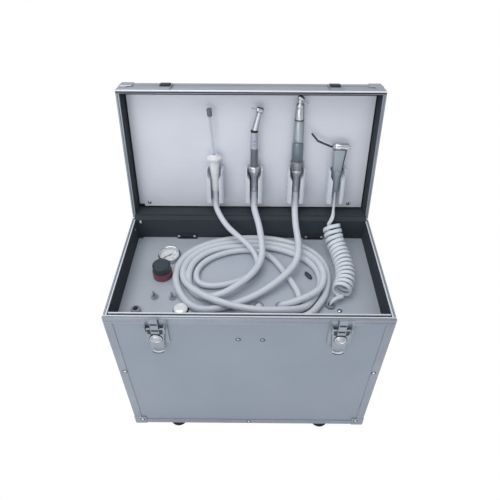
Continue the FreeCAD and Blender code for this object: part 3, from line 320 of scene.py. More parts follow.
def make_finishes():
    """One material for each slot, and a few more that share a slot with a related finish."""
    # Scratches run where the scale is small: across the unit, no way more than another, or up a part.
    across, even = (0.02, 1.0, 1.0), (1.0, 1.0, 1.0)
    along_edge, along_body, along_grip = (1.0, 1.0, 0.05), (1.0, 1.0, 0.1), (1.0, 1.0, 0.2)
    return {
        # Faced boards: even, pale and dull; the lid's are painted lighter than the case's, for the light
        # that falls on the lid from above.
        "laminate": faced_board("satin_faced_board", "8d97a3", "959eaa"),
        "lid_laminate_painted_light": faced_board("satin_lid_board_painted_light", "a1a5af", "a8acb6"),
        # Extruded rims and corners: long faint draw lines and a soft, broad gleam.
        "extrusion": brushed_sheet("anodised_extrusion", "8f96a1", "9fa6b0", 0.5, 0.3, along_edge),
        # The lid's extrusion is painted lighter than the case's, for the light that falls on the lid from
        # above.
        "lid_extrusion_painted_light": brushed_sheet("lid_extrusion_painted_light", "a4a9b2", "b5b9c1", 0.5, 0.3, along_edge),
        # Beads rolled into the rims: smooth, and painted pale as a highlight, so that they show as bright
        # lines.
        "rim_bead_painted_highlight": moulded("satin_rim_bead_painted_highlight", "ccd1d9", "dde1e7", 0.3, 30.0, 0.004),
        "lid_bead_painted_highlight": moulded("polished_lid_bead_painted_highlight", "dfe2ea", "eceef4", 0.25, 30.0, 0.004),
        # Black steel, felt and rubber: they hardly shine, and set off the metal next to them.
        # These blacks also stand as painted shade: in slots, under lips, round screw heads, beside the
        # fork, inside the front rim and between the lid's beads.
        "hinge_black": moulded("black_oxide_steel", "1e2023", "292c30", 0.45, 1.0, 0.03),
        "lining_felt": moulded("black_felt_lining", "363b42", "42484f", 0.85, 1.2, 0.15, 0.2),
        "foot_rubber": moulded("black_rubber", "17181a", "232427", 0.75, 1.0, 0.1, 0.3),
        "handle_black": moulded("black_handle_grip", "212326", "2d2f32", 0.6, 1.2, 0.15),
        # Fasteners and latches: nickel sparkles in points, satin steel gleams evenly.
        "fastener": bright_plating("nickelled_steel", "6a6f77", "c3c8ce", 0.16),
        "latch_plate_steel": brushed_sheet("satin_latch_steel", "929aa5", "a3aab4", 0.6, 0.24, across),
        # The two panels: brushed across, so that they look faintly streaked, and lighter than the boards.
        "panel_sheet": brushed_sheet("brushed_panel", "b0b8c2", "bcc3cc", 0.2, 0.34, across),
        "lid_sheet": brushed_sheet("brushed_lid_panel", "d7dae4", "e0e2eb", 0.2, 0.36, across),
        # Gauge: a mirror-like bezel round a matt white dial, under glass that is barely seen.
        "gauge_metal": bright_plating("chrome_bezel", "c4c8cd", "e2e5e9", 0.12),
        "dial_white": moulded("white_dial_print", "e6e9eb", "eff1f2", 0.5, 1.0, 0.02),
        # The needle's black also paints the shade down the syringe's right side.
        "needle_black": moulded("black_needle_paint", "131416", "1a1c1f", 0.5, 1.0, 0.02),
        "lens": clear("gauge_lens_glass", "f2f6f8", 0.16, 0.02),
        # Regulator: dull cast metal, a dusky red ring, and a knob with the soft sheen of moulded plastic.
        "regulator_metal": brushed_sheet("die_cast_alloy", "92989f", "a3a9b0", 0.8, 0.4, even),
        "lock_ring_red": moulded("red_lock_ring_plastic", "74404f", "864b5f", 0.4, 0.8, 0.03),
        "knob_black": moulded("black_knob_plastic", "2a353b", "37444b", 0.45, 0.7, 0.05),
        # Chrome mirrors the room, with painted dark reflections at its edges; the polished caps are painted
        # near white as a highlight, the nozzle is dark.
        "bright_metal": bright_plating("chrome_plate", "dcdfe4", "eceef1", 0.1),
        # The caps are near white: a painted highlight, for the bright room that polished chrome mirrors.
        "cap_chrome": brushed_sheet("polished_cap_painted_highlight", "eef0f3", "f8f9fb", 0.25, 0.1, even),
        "nozzle_steel": bright_plating("dark_nozzle_chrome", "3a3d43", "686d75", 0.12),
        # Glands, toggles and rocker: turned metal glows softly, nylon is half dull, the rocker glossy.
        "gland_black": moulded("black_nylon", "222427", "2e3135", 0.5, 0.8, 0.04),
        "gland_grey": brushed_sheet("turned_gland_alloy", "8a919b", "9ba2ab", 0.5, 0.3, even),
        "toggle_steel": brushed_sheet("satin_toggle_nickel", "9aa1ab", "b6bcc4", 0.4, 0.25, even),
        "rocker_black": moulded("glossy_black_rocker", "121315", "1b1d1f", 0.25, 1.2, 0.02),
        # Compressor bay: rough cast metal, layered iron, a dull tank and milky bottles.
        "cast_aluminium": brushed_sheet("cast_aluminium", "83888e", "969ba1", 0.8, 0.5, even),
        "rotor_iron": brushed_sheet("rotor_laminations", "434548", "525457", 0.8, 0.5, (0.1, 1.0, 1.0)),
        "tank_paint": brushed_sheet("tank_aluminium", "909aa4", "a3acb5", 0.6, 0.4, across),
        "bottle_plastic": moulded("natural_polythene", "cfd5d9", "dee3e6", 0.4, 4.0, 0.05),
        # Holders, and the ejector's light plastics: smooth and pale, the tube clear with its wire inside.
        "holder_plastic": moulded("pale_holder_plastic", "ccd1d9", "d8dde4", 0.25, 1.0, 0.03),
        "ejector_cream": moulded("cream_ejector_plastic", "dedee3", "ebebed", 0.35, 1.5, 0.02),
        "clear_tube": clear("clear_ejector_tube", "dfe3ea", 0.22, 0.1),
        "ejector_wire": moulded("ejector_wire", "a4a9b4", "b6bac4", 0.4, 1.0, 0.02),
        "strainer_grey": moulded("grey_strainer_tip", "5f6c74", "728089", 0.4, 1.0, 0.03),
        # Instruments: satin steel and chrome with bright streaks, their anodised grips darker and duller.
        "instrument_steel": bright_plating("satin_instrument_steel", "b9bcc3", "e2e5e9", 0.24),
        "bur_steel": bright_plating("ground_bur_steel", "9fa3a9", "e2e5e9", 0.25),
        "ring_steel": knurled_steel("knurled_ring_steel", "646971", "bec3c9", 2.4),
        "turbine_grip": brushed_sheet("turbine_ribbed_grip", "696c76", "7c808a", 0.3, 0.4, along_grip),
        "turbine_sleeve": brushed_sheet("turbine_satin_sleeve", "adafc0", "bfc1d0", 0.4, 0.3, along_grip),
        "motor_dark": brushed_sheet("dark_anodised_motor", "6a7580", "7f8a94", 0.4, 0.3, along_body),
        "contra_satin": brushed_sheet("satin_contra_angle", "a0aab2", "b6bec5", 0.8, 0.26, along_body),
        "syringe_grey": brushed_sheet("satin_syringe_body", "8f98a1", "a2abb3", 0.35, 0.3, along_body),
        # Hoses: soft pale grey with a broad sheen, the twin hose a little paler.
        "hose_grey": silicone_hose("grey_silicone_hose", "c6ccd5", "d2d7de"),
        "twin_hose": silicone_hose("pale_twin_hose", "cfd5dd", "dde3ea"),
    }


# The lid's edges and boards take copies of their finishes painted lighter, for the light on the lid.
NODE_FINISHES = {"lid_edge_trims": "lid_extrusion_painted_light", "lid_boards": "lid_laminate_painted_light"}
FINISHES = make_finishes()


def dress_cad_nodes():
    """Gives every CAD node the finish of its slot, and the lid's edges and boards their own, painted
    lighter for the light on the lid.
    """
    for entry in frame["record"]["subparts"]:
        node = frame["nodes"][entry["node"]]
        node.data.materials.clear()
        node.data.materials.append(FINISHES[NODE_FINISHES.get(entry["node"], entry["material_slot"])])


# ---------------- hoses

HOSE_R = 5.7
SUCTION_R = 5.0
SUCTION_ROUTE = ((-45, 209, 321), (-24, 195, 308), (-3, 181, 298), (11, 164, 288), (15, 145, 283),
                 (7, 125, 283), (-14, 109, 283), (-42, 98, 283), (-70, 95, 283), (-87, 103, 283),
                 (-92, 122, 283), (-87, 142, 283), (-72, 160, 283), (-48, 174, 283), (-20, 182, 283),
                 (6, 183, 283), (28, 174, 283), (44, 157, 283), (54, 139, 283), (65, 118, 283),
                 (73, 100, 283), (79, 84, 283), (81, 72, 283), (81, 65, 279))
TURBINE_ROUTE = ((16, 209, 320), (20, 182, 309), (22, 161, 302), (18, 138, 297), (6, 114, 296),
                 (-15, 92, 294), (-40, 74, 291), (-64, 67, 287), (-84, 74, 284), (-98, 90, 283),
                 (-104, 110, 283), (-104, 132, 283), (-97, 154, 283), (-81, 173, 283), (-57, 186, 283),
                 (-28, 192, 283), (5, 193, 283), (38, 190, 283), (68, 180, 283), (94, 164, 283),
                 (112, 144, 283), (119, 122, 283), (118, 100, 283), (110, 80, 283), (100, 64, 283),
                 (88, 50, 285), (70, 41, 290), (50, 37, 294.5), (26, 36, 294.5), (2, 38, 294.5),
                 (-24, 44, 294.5), (-50, 54, 294), (-75, 68, 292), (-97, 87, 288), (-111, 108, 284),
                 (-115.5, 129, 283), (-111, 151, 283), (-98, 172, 283), (-75, 190, 283), (-44, 201, 283),
                 (-8, 204.5, 283), (30, 202, 283), (64, 193, 284), (92, 177, 287), (112, 157, 290.5),
                 (122, 133, 293), (124, 109, 293.5), (117, 86, 294.5), (105, 71, 296), (90, 62, 296),
                 (74, 57, 292), (60, 55.5, 286), (51, 56, 283), (50, 56, 279))
MOTOR_ROUTE = ((81, 209, 320), (85, 182, 309), (84, 157, 305), (78, 135, 299), (63, 115, 296),
               (38, 91, 291), (4, 68, 287), (-25, 56, 284), (-48, 49, 283), (-71, 45, 283),
               (-91, 51, 283), (-108, 69, 283), (-120, 92, 283), (-127, 118, 283), (-125, 145, 283),
               (-113, 170, 283), (-92, 190, 283), (-62, 205, 283), (-28, 213, 283), (8, 215.5, 283),
               (45, 212, 283), (82, 200, 283), (110, 182, 283), (128, 157, 283), (133, 129, 283),
               (131, 103, 283), (123, 77, 283), (112, 58, 283), (99, 41, 283), (80, 30, 283),
               (58, 27, 283), (38, 30, 283), (24, 40, 283), (16, 50, 282), (14, 57, 279))


HANG_S = 35.0
OVER_RIMS = (237.8, 336.5)


def hose_start(x):
    """The first points of a hose: in the instrument's tail, then bending out over the rims."""
    return [lid_place(x, TAIL_S + 2, AXIS_Q), lid_place(x, HANG_S, AXIS_Q), place(x, *OVER_RIMS)]


def spline_line(points):
    """The smooth line that a NURBS spline through these control points follows."""
    data = bpy.data.curves.new("line", "CURVE")
    data.dimensions = "3D"
    spline = data.splines.new("NURBS")
    spline.points.add(len(points) - 1)
    for made, point in zip(spline.points, points):
        made.co = (*point, 1.0)
    spline.order_u = 3
    spline.use_endpoint_u = True
    spline.resolution_u = 6
    curve = bpy.data.objects.new("line", data)
    bpy.context.collection.objects.link(curve)
    bpy.context.view_layer.update()
    line = bpy.data.meshes.new_from_object(curve)
    path = [vertex.co.copy() for vertex in line.vertices]
    bpy.data.objects.remove(curve)
    bpy.data.meshes.remove(line)
    return path


def travelling_frames(path):
    """At each point of a line: the point, and two directions across it that turn with it."""
    frames = []
    across = None
    for index, point in enumerate(path):
        before = path[max(index - 1, 0)]
        after = path[min(index + 1, len(path) - 1)]
        ahead = (after - before).normalized()
        if across is None:
            across = ahead.orthogonal().normalized()
        across = (across - ahead * across.dot(ahead)).normalized()
        frames.append((point, across, ahead.cross(across)))
    return frames


def tube_mesh(name, frames, outlines, finish):
    """A closed tube whose section, an outline in metres, is set at each frame."""
    mesh = bmesh.new()
    for outline in outlines:
        rings = []
        for point, across, up in frames:
            rings.append([mesh.verts.new(point + across * u + up * v) for u, v in outline])
        count = len(outline)
        for ring, following in zip(rings, rings[1:]):
            for index in range(count):
                after = (index + 1) % count
                mesh.faces.new((ring[index], ring[after], following[after], following[index]))
        mesh.faces.new(list(reversed(rings[0])))
        mesh.faces.new(rings[-1])
    bmesh.ops.recalc_face_normals(mesh, faces=mesh.faces)
    data = bpy.data.meshes.new(name)
    mesh.to_mesh(data)
    mesh.free()
    data.materials.append(FINISHES[finish])
    for face in data.polygons:
        face.use_smooth = len(face.vertices) == 4
    piece = bpy.data.objects.new(name, data)
    bpy.context.collection.objects.link(piece)
    return piece


def circle_outline(radius, centre=0.0, corners=16):
    """Corners of a circle, in metres, its centre moved along the first direction."""
    return [(centre + radius * math.cos(math.tau * k / corners), radius * math.sin(math.tau * k / corners))
            for k in range(corners)]


def length_of(path):
    """A line's length."""
    return sum((b - a).length for a, b in zip(path, path[1:]))


def smooth_hose(name, node, x, route, radius):
    """One smooth hose: from its instrument over the rims, round the coil, to its gland."""
    points = hose_start(x) + [place(*p) for p in route]
    path = spline_line(points)
    hose = tube_mesh(name, travelling_frames(path), [circle_outline(radius / 1000)], "hose_grey")
    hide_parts(node)
    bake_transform(hose)
    print(name, "length", round(length_of(path), 3))
    return hose


CURL_ROUTE = ((145, 208, 323), (148, 190, 308), (156, 168, 297), (161, 138, 294.5), (160, 108, 294.5),
              (154, 88, 294.5), (146, 74, 294.5))
CURL_END = ((138, 66, 289), (131, 61, 285), (130, 60, 279))
CURL_LEAD = (148, 218, 331)
CURL_R = 16.9
CURL_PITCH = 9.6
STRAND_R = 2.2
STRAND_APART = 2.5
SMOOTH_OVER = 5
POINTS_A_TURN = 14
OPEN_FROM = 0.6
OPEN_A_TURN = 0.8


def along(frames, far):
    """The frame that lies a distance along a line of frames."""
    for (a, across, up), (b, across_b, up_b) in zip(frames, frames[1:]):
        step = (b - a).length
        if far <= step:
            share = far / max(step, 1e-9)
            return a.lerp(b, share), across.lerp(across_b, share), up.lerp(up_b, share)
        far -= step
    return frames[-1]


def helix_points(frames):
    """Control points of the curly part, opening from and closing to the line that it winds round."""
    total = length_of([centre for centre, _, _ in frames])
    count = round(total / (CURL_PITCH / 1000) * POINTS_A_TURN)
    wide = (CURL_R - STRAND_R) / 1000
    points = []
    for index in range(count + 1):
        centre, across, up = along(frames, total * index / count)
        ends = min(index, count - index) / POINTS_A_TURN
        radius = wide * min(1.0, OPEN_FROM + OPEN_A_TURN * ends)
        angle = math.tau * index / POINTS_A_TURN
        points.append(centre + (across * math.cos(angle) + up * math.sin(angle)) * radius)
    return points


def beside(path, line):
    """Frames of the twin hose: its two strands lie side by side along the line that it winds round."""
    sides = []
    for point, across, up in travelling_frames(path):
        nearest = min(range(len(line) - 1), key=lambda k: (line[k] - point).length_squared)
        side = (line[nearest + 1] - line[nearest]).normalized()
        ahead = across.cross(up)
        side -= ahead * side.dot(ahead)
        if side.length < 0.3:
            side = sides[-1][1] if sides else across
            side = side - ahead * side.dot(ahead)
        side.normalize()
        if sides and side.dot(sides[-1][1]) < 0:
            side.negate()
        sides.append((point, side, ahead))
    frames = []
    for index, (point, _, ahead) in enumerate(sides):
        near = sides[max(0, index - SMOOTH_OVER):index + SMOOTH_OVER + 1]
        side = sum((one[1] for one in near), Vector())
        side = (side - ahead * side.dot(ahead)).normalized()
        frames.append((point, side, ahead.cross(side)))
    return frames


def curly_hose():
    """The syringe's twin hose: a straight lead off the syringe, then a curly part down to its gland."""
    x = HOLDER_X[3]
    line = spline_line([place(*p) for p in CURL_ROUTE])
    points = hose_start(x) + [place(*CURL_LEAD)] + helix_points(travelling_frames(line))
    points += [place(*p) for p in CURL_END]
    path = spline_line(points)
    outlines = [circle_outline(STRAND_R / 1000, side * STRAND_APART / 2000, 12) for side in (-1, 1)]
    hose = tube_mesh("syringe_curly_hose", beside(path, line), outlines, "twin_hose")
    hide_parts("syringe_lead", "syringe_hose")
    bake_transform(hose)
    print("curly hose length", round(length_of(path), 3))


def make_hoses():
    """The three smooth hoses and the curly one."""
    hoses = [smooth_hose("suction_hose_run", "suction_hose", HOLDER_X[0], SUCTION_ROUTE, SUCTION_R),
             smooth_hose("turbine_hose_run", "turbine_hose", HOLDER_X[1], TURBINE_ROUTE, HOSE_R),
             smooth_hose("motor_hose_run", "motor_hose", HOLDER_X[2], MOTOR_ROUTE, HOSE_R)]
    for hose in hoses:
        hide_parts("hose_hank")
    curly_hose()


# ---------------- modelling tools

WELD = 0.000004
SHARP = math.radians(40)


def clear_selection():
    """Leaves edit mode and selects nothing."""
    if bpy.context.object and bpy.context.object.mode == "EDIT":
        bpy.ops.object.mode_set(mode="OBJECT")
    bpy.ops.object.select_all(action="DESELECT")


def one_vertex(name, where):
    """A new mesh in edit mode, brought down to one selected vertex at a place."""
    clear_selection()
    bpy.ops.mesh.primitive_plane_add(size=0.01, location=(0, 0, 0))
    piece = bpy.context.object
    piece.name = name
    bpy.ops.object.mode_set(mode="EDIT")
    bpy.ops.mesh.select_mode(type="VERT")
    bpy.ops.mesh.select_all(action="SELECT")
    bpy.ops.mesh.merge(type="CENTER")
    bpy.ops.transform.translate(value=where)
    return piece


def tidy_shell():
    """In edit mode: closes seams and poles, and turns all faces outwards."""
    bpy.ops.mesh.select_all(action="SELECT")
    bpy.ops.mesh.remove_doubles(threshold=WELD)
    bpy.ops.mesh.normals_make_consistent(inside=False)


def finish_piece(piece, finish, body, node=None, rounding=0.0, steps=2, smooth=35.0):
    """Applies the piece's place, rounds its edges, gives it its material, and hangs it on its body."""
    clear_selection()
    piece.select_set(True)
    bpy.context.view_layer.objects.active = piece
    bpy.ops.object.transform_apply(location=True, rotation=True, scale=True)
    if rounding > 0:
        bevel = piece.modifiers.new("edges", "BEVEL")
        bevel.width = rounding / 1000
        bevel.segments = steps
        bevel.limit_method = "ANGLE"
        bevel.angle_limit = SHARP
        bpy.ops.object.modifier_apply(modifier=bevel.name)
    bpy.ops.object.shade_smooth_by_angle(angle=math.radians(smooth))
    piece.data.materials.clear()
    piece.data.materials.append(FINISHES[finish])
    if body:
        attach(piece, body)
    if node:
        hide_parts(node)
    return piece


def copies(model, names, moves):
    """A modelled piece and copies of it, each with its own mesh, one for each name and its move."""
    base = model.matrix_world.copy()
    pieces = [model]
    for _ in names[1:]:
        twin = model.copy()
        twin.data = model.data.copy()
        bpy.context.collection.objects.link(twin)
        pieces.append(twin)
    for piece, name, move in zip(pieces, names, moves):
        piece.name = name
        piece.matrix_world = move @ base
    return pieces


def at_each(model, names, spots):
    """A piece modelled at the first of these spots of the case frame, and its copies at the others."""
    start = place(*spots[0])
    return copies(model, names, [Matrix.Translation(place(*spot) - start) for spot in spots])


def numbered(name, count):
    """That many names, numbered from 0."""
    return [f"{name}_{index}" for index in range(count)]


def sided(name):
    """A left name and a right one."""
    return [f"{name}_{side}" for side in SIDES]


def drawn(name, points):
    """In edit mode: a chain of vertices through points in metres."""
    piece = one_vertex(name, points[0])
    for here, there in zip(points, points[1:]):
        bpy.ops.mesh.extrude_region_move(TRANSFORM_OT_translate={"value": there - here})
    return piece


def prism(name, corners, run, spot):
    """A straight bar: a closed outline of corners, extruded along a run, both in mm in spot's frame."""
    points = [spot(*corner) for corner in corners]
    piece = drawn(name, points)
    bpy.ops.mesh.select_all(action="SELECT")
    bpy.ops.mesh.edge_face_add()
    far = spot(*[c + r for c, r in zip(corners[0], run)]) - points[0]
    bpy.ops.mesh.extrude_region_move(TRANSFORM_OT_translate={"value": far})
    tidy_shell()
    bpy.ops.object.mode_set(mode="OBJECT")
    return piece


def block(name, low, high, spot):
    """A plain block between two corners, in mm in spot's frame."""
    (x0, y0, z0), (x1, y1, z1) = low, high
    return prism(name, [(x0, y0, z0), (x1, y0, z0), (x1, y1, z0), (x0, y1, z0)], (0, 0, z1 - z0), spot)


def lathe(name, outline, centre, up, spot, corners=32):
    """A turned piece: an outline of (radius, height) in mm spun about an axis through a centre."""
    points = [Vector((radius / 1000, 0, height / 1000)) for radius, height in outline]
    piece = drawn(name, points)
    bpy.ops.mesh.select_all(action="SELECT")
    bpy.ops.mesh.spin(steps=corners, angle=math.tau, center=(0, 0, 0), axis=(0, 0, 1))
    tidy_shell()
    bpy.ops.object.mode_set(mode="OBJECT")
    start = spot(*centre)
    ahead = (spot(*[c + u for c, u in zip(centre, up)]) - start).normalized()
    turn = ahead.to_track_quat("Z", "Y").to_matrix().to_4x4()
    piece.matrix_world = Matrix.Translation(start) @ turn
    return piece


def select_faces(piece, wanted):
    """Enters edit mode with just those faces selected whose centre and normal are wanted."""
    clear_selection()
    piece.select_set(True)
    bpy.context.view_layer.objects.active = piece
    bpy.ops.object.mode_set(mode="EDIT")
    bpy.ops.mesh.select_mode(type="FACE")
    bpy.ops.mesh.select_all(action="DESELECT")
    mesh = bmesh.from_edit_mesh(piece.data)
    for face in mesh.faces:
        face.select = bool(wanted(face.calc_center_median(), face.normal))
    bmesh.update_edit_mesh(piece.data)


def knurl(piece, corners, low, high, rows, depth):
    """Raises every other cell of a turned band, before its place is applied."""
    def chosen(centre, normal):
        height = centre.z * 1000
        if not low < height < high or abs(normal.z) > 0.3:
            return False
        turn = math.atan2(centre.y, centre.x) / math.tau * corners
        row = int((height - low) / (high - low) * rows)
        return (int(math.floor(turn / 2 + 0.01)) + row) % 2 == 0
    select_faces(piece, chosen)
    bpy.ops.mesh.extrude_region_shrink_fatten(
        TRANSFORM_OT_shrink_fatten={"value": depth / 1000})
    bpy.ops.object.mode_set(mode="OBJECT")


# ---------------- case and lid

LINER_T = 0.6
PAST_LINER = 0.7


def ring_walls(name, z0, z1, spot, finish, body):
    """Lining of the four inner walls between two heights, as thin boards."""
    x0, x1, y0, y1 = -INNER_X, INNER_X, INNER_Y0, INNER_Y1
    plans = (((x0, y0), (x1, y0 + LINER_T)), ((x1 - LINER_T, y0 + LINER_T), (x1, y1 - LINER_T)),
             ((x0, y1 - LINER_T), (x1, y1)), ((x0, y0 + LINER_T), (x0 + LINER_T, y1 - LINER_T)))
    for label, (low, high) in zip(numbered(name, len(plans)), plans):
        wall = block(label, (*low, z0), (*high, z1), spot)
        finish_piece(wall, finish, body, rounding=0.15, steps=1)


def lid_box(x, y, z):
    """Lid drawn like the case, opening upwards from z 0: across, from hinge, away from the panel."""
    return lid_place(x, CASE_D - y, z)


def add_liners():
    """Black lining inside the case above its panel, and inside the lid round its panel."""
    ring_walls("case_lining", PANEL_Z + 0.1, CASE_H - 0.2, place, "lining_felt", "case")
    ring_walls("lid_lining", RIM_GAP + 0.2, LID_PANEL_Q + 12, lid_box, "lining_felt", "lid")


# Sections of the rims: in from the outer face, and up from the edge that meets the other rim.
RIM_PROFILE = ((0.0, -14.0), (1.0, -14.0), (1.0, -3.0), (6.0, -3.0), (6.0, -1.3), (2.9, -1.3), (2.7, 0.0),
               (0.7, 0.0), (0.0, -0.7), (0.0, -7.2), (0.6, -7.4), (0.6, -8.4), (0.0, -8.6))
BEAD_PROFILE = ((3.5, -1.25), (5.9, -1.25), (5.9, -0.4), (5.4, 0.0), (4.0, 0.0), (3.5, -0.4))
LID_PROFILE = ((0.0, -14.0), (1.0, -14.0), (1.0, -3.0), (6.0, -3.0), (6.0, -1.6), (0.0, -1.6), (0.0, -7.2),
               (0.6, -7.4), (0.6, -8.4), (0.0, -8.6))
LID_OUTER_BEAD = ((0.0, -1.55), (2.6, -1.55), (2.6, -0.5), (2.1, 0.0), (0.6, 0.0), (0.0, -0.6))
# A black strip between the lid's beads: painted shade in the gap between them.
LID_SHADE_STRIP = ((2.65, -1.55), (4.55, -1.55), (4.55, -0.5), (2.65, -0.5))
LID_INNER_BEAD = ((4.6, -1.55), (5.9, -1.55), (5.9, -0.9), (5.6, -0.6), (4.9, -0.6), (4.6, -0.9))
RIM_W = 6.0

# The back rims stop at this distance on either side of a hinge's middle.
HINGE_GAP = 19.8


def rim_bars(name, spot, up, front_parts, side_parts, body, node):
    """Extruded rim round an opening, with its beads: at the front, the sides and between the hinges."""
    half = CASE_W / 2
    top = CASE_H if up > 0 else RIM_GAP

    def bar(label, profile, finish, corner_of, run):
        piece = prism(f"{name}_{label}", [corner_of(u, v) for u, v in profile], run, spot)
        finish_piece(piece, finish, body, node, rounding=0.25)

    for label, profile, finish in front_parts:
        bar(f"front_{label}", profile, finish, lambda u, v: (-half, u, top + up * v), (2 * half, 0, 0))
    for label, profile, finish in side_parts:
        for side, sign in zip(SIDES, (-1, 1)):
            bar(f"{side}_{label}", profile, finish,
                lambda u, v: (sign * (half - u), RIM_W, top + up * v), (0, CASE_D - 2 * RIM_W, 0))
    near, far = HINGE_X - HINGE_GAP, HINGE_X + HINGE_GAP
    for x0, x1 in ((-half, -far), (-near, near), (far, half)):
        bar(f"back_{x0:.0f}".replace("-", "m"), RIM_PROFILE, side_parts[0][2],
            lambda u, v: (x0, CASE_D - u, top + up * v), (x1 - x0, 0, 0))


def add_rims():
    """Rims of case and lid; the lid's front rim has a black strip between its two beads, painted shade for
    the gap there.
    """
    satin = "extrusion"
    # The pale bead finish is a painted highlight along the rims' edges.
    case_parts = (("base", RIM_PROFILE, satin), ("bead", BEAD_PROFILE, "rim_bead_painted_highlight"))
    rim_bars("case_rim_bar", place, 1, case_parts, case_parts, "case", "case_rim")
    front_parts = (("base", LID_PROFILE, "lid_extrusion_painted_light"), ("outer_bead", LID_OUTER_BEAD, "lid_bead_painted_highlight"),
                   ("shade_strip", LID_SHADE_STRIP, "hinge_black"), ("inner_bead", LID_INNER_BEAD, satin))
    side_parts = (("base", RIM_PROFILE, satin), ("bead", BEAD_PROFILE, satin))
    rim_bars("lid_rim_bar", lid_box, -1, front_parts, side_parts, "lid", "lid_rim")


LEDGE_BEAD = ((9.4, 312.0), (12.0, 312.0), (12.0, 318.0), (11.4, 318.7), (10.0, 318.7), (9.4, 318.0))


def add_front_ledge():
    """Ledge inside the front rim: a black strip that paints the shade beside the bead, and a pale bead
    painted as a highlight.
    """
    half = INNER_X - PAST_LINER
    low = (-half, INNER_Y0 + PAST_LINER, CASE_H - 5)
    ledge_shade = block("front_ledge_painted_shade", low, (half, LEDGE_BEAD[0][0], CASE_H - 2), place)
    finish_piece(ledge_shade, "lining_felt", "case")
    bead = prism("front_ledge_bead", [(-half, y, z) for y, z in LEDGE_BEAD], (2 * half, 0, 0), place)
    finish_piece(bead, "rim_bead_painted_highlight", "case", rounding=0.3)


COVER_HALF = 211.0
COVER_T = 0.15
COVER_ON_CASE = ((223.1, 319.2), (225.2, 319.3), (226.2, 320.6), (226.6, 322.0))
COVER_ON_LID = ((3.8, 0.2), (5.9, 0.2))


def add_hinge_cover():
    """Black strip glued over both back rims, so that the hinges and the gap between them don't show."""
    points = [place(-COVER_HALF, y, z) for y, z in COVER_ON_CASE]
    points += [lid_place(-COVER_HALF, s, q) for s, q in COVER_ON_LID]
    strip = drawn("hinge_cover_strip", points)
    bpy.ops.mesh.select_all(action="SELECT")
    bpy.ops.mesh.extrude_region_move(TRANSFORM_OT_translate={"value": (2 * COVER_HALF / 1000, 0, 0)})
    bpy.ops.object.mode_set(mode="OBJECT")
    thick = strip.modifiers.new("thickness", "SOLIDIFY")
    thick.thickness = COVER_T / 1000
    thick.offset = 0.0
    bpy.ops.object.modifier_apply(modifier=thick.name)
    bpy.ops.object.mode_set(mode="EDIT")
    tidy_shell()
    bpy.ops.object.mode_set(mode="OBJECT")
    finish_piece(strip, "lining_felt", None, smooth=60.0)
    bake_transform(strip)


BACKING_X = (-118.4, 118.6)
BACKING_HALF = 18.5
BACKING_Y = (220.6, 222.3)
BACKING_Z = (PANEL_Z + 0.2, PANEL_Z + 9.0)
BACKING_SCREW_X = (-14.6, 14.6)
BACKING_SCREW_Z = PANEL_Z + 4.4
BACKING_SCREW = ((0, 0), (2.9, 0), (2.7, 0.8), (1.5, 1.5), (0, 1.6))


def add_hinge_backing():
    """Black backing plates of the hinges at the foot of the back wall, each with two bright screws."""
    low = (BACKING_X[0] - BACKING_HALF, BACKING_Y[0], BACKING_Z[0])
    high = (BACKING_X[0] + BACKING_HALF, BACKING_Y[1], BACKING_Z[1])
    plate = block("hinge_backing", low, high, place)
    for piece in at_each(plate, sided("hinge_backing"), [(x, 0, 0) for x in BACKING_X]):
        finish_piece(piece, "hinge_black", "case", rounding=0.6)
    spots = [(x + dx, BACKING_Y[0] + 0.2, BACKING_SCREW_Z) for x in BACKING_X for dx in BACKING_SCREW_X]
    names = [f"{name}_{end}" for name in sided("hinge_backing_screw") for end in ("a", "b")]
    head = lathe("hinge_backing_screw", BACKING_SCREW, spots[0], (0, -1, 0), place, 16)
    for piece in at_each(head, names, spots):
        finish_piece(piece, "bright_metal", "case")


CATCH_X = -199.8
CATCH_Z = 312.4


def add_stay_catch():
    """Small polished catch at the left end of the back wall, painted near white as a highlight, on its dark
    backing.
    """
    for name, half, y0, y1, below, height, finish, rounding in (
            ("stay_catch_backing", 2.6, 221.4, 222.6, 1.6, 6.4, "hinge_black", 0.3),
            ("stay_catch", 1.7, 219.8, 221.6, 0.0, 6.0, "cap_chrome", 0.8)):
        low, high = (CATCH_X - half, y0, CATCH_Z - below), (CATCH_X + half, y1, CATCH_Z + height)
        finish_piece(block(name, low, high, place), finish, "case", rounding=rounding)


CLIP_OUTLINE = ((94.0, 128.0), (99.0, 119.5), (103.6, 116.0), (106.6, 118.0), (105.6, 124.0), (99.6, 132.6),
                (95.0, 133.6))
CLIP_H = 3.6
CLIP_EDGE = 0.0018
CLIP_RAISED = 0.0006


def add_hose_clip():
    """Black nylon clip on the panel inside the hank."""
    clip = prism("hose_clip", [(x, y, PANEL_Z) for x, y in CLIP_OUTLINE], (0, 0, CLIP_H), place)
    select_faces(clip, lambda centre, normal: normal.z > 0.9)
    bpy.ops.mesh.inset(thickness=CLIP_EDGE, depth=CLIP_RAISED)
    bpy.ops.object.mode_set(mode="OBJECT")
    finish_piece(clip, "knob_black", "case", rounding=1.2)


# ---------------- controls and small fittings

# A black ring under the filler cap: painted shadow round its foot.
FILLER_SHADE_RING = ((0, 0.05), (11.6, 0.05), (12.5, 0.5), (12.5, 1.5), (11.6, 2.0), (0, 2.0))
FILLER_TOP = (
    (0, 1.9), (10.6, 1.9), (11.4, 2.5), (11.4, 4.6), (10.8, 5.6), (9.0, 6.5), (5.0, 7.1), (0, 7.3))
SCREW_HEAD = ((0, 0), (2.9, 0), (2.7, 0.7), (1.6, 1.3), (0, 1.4))
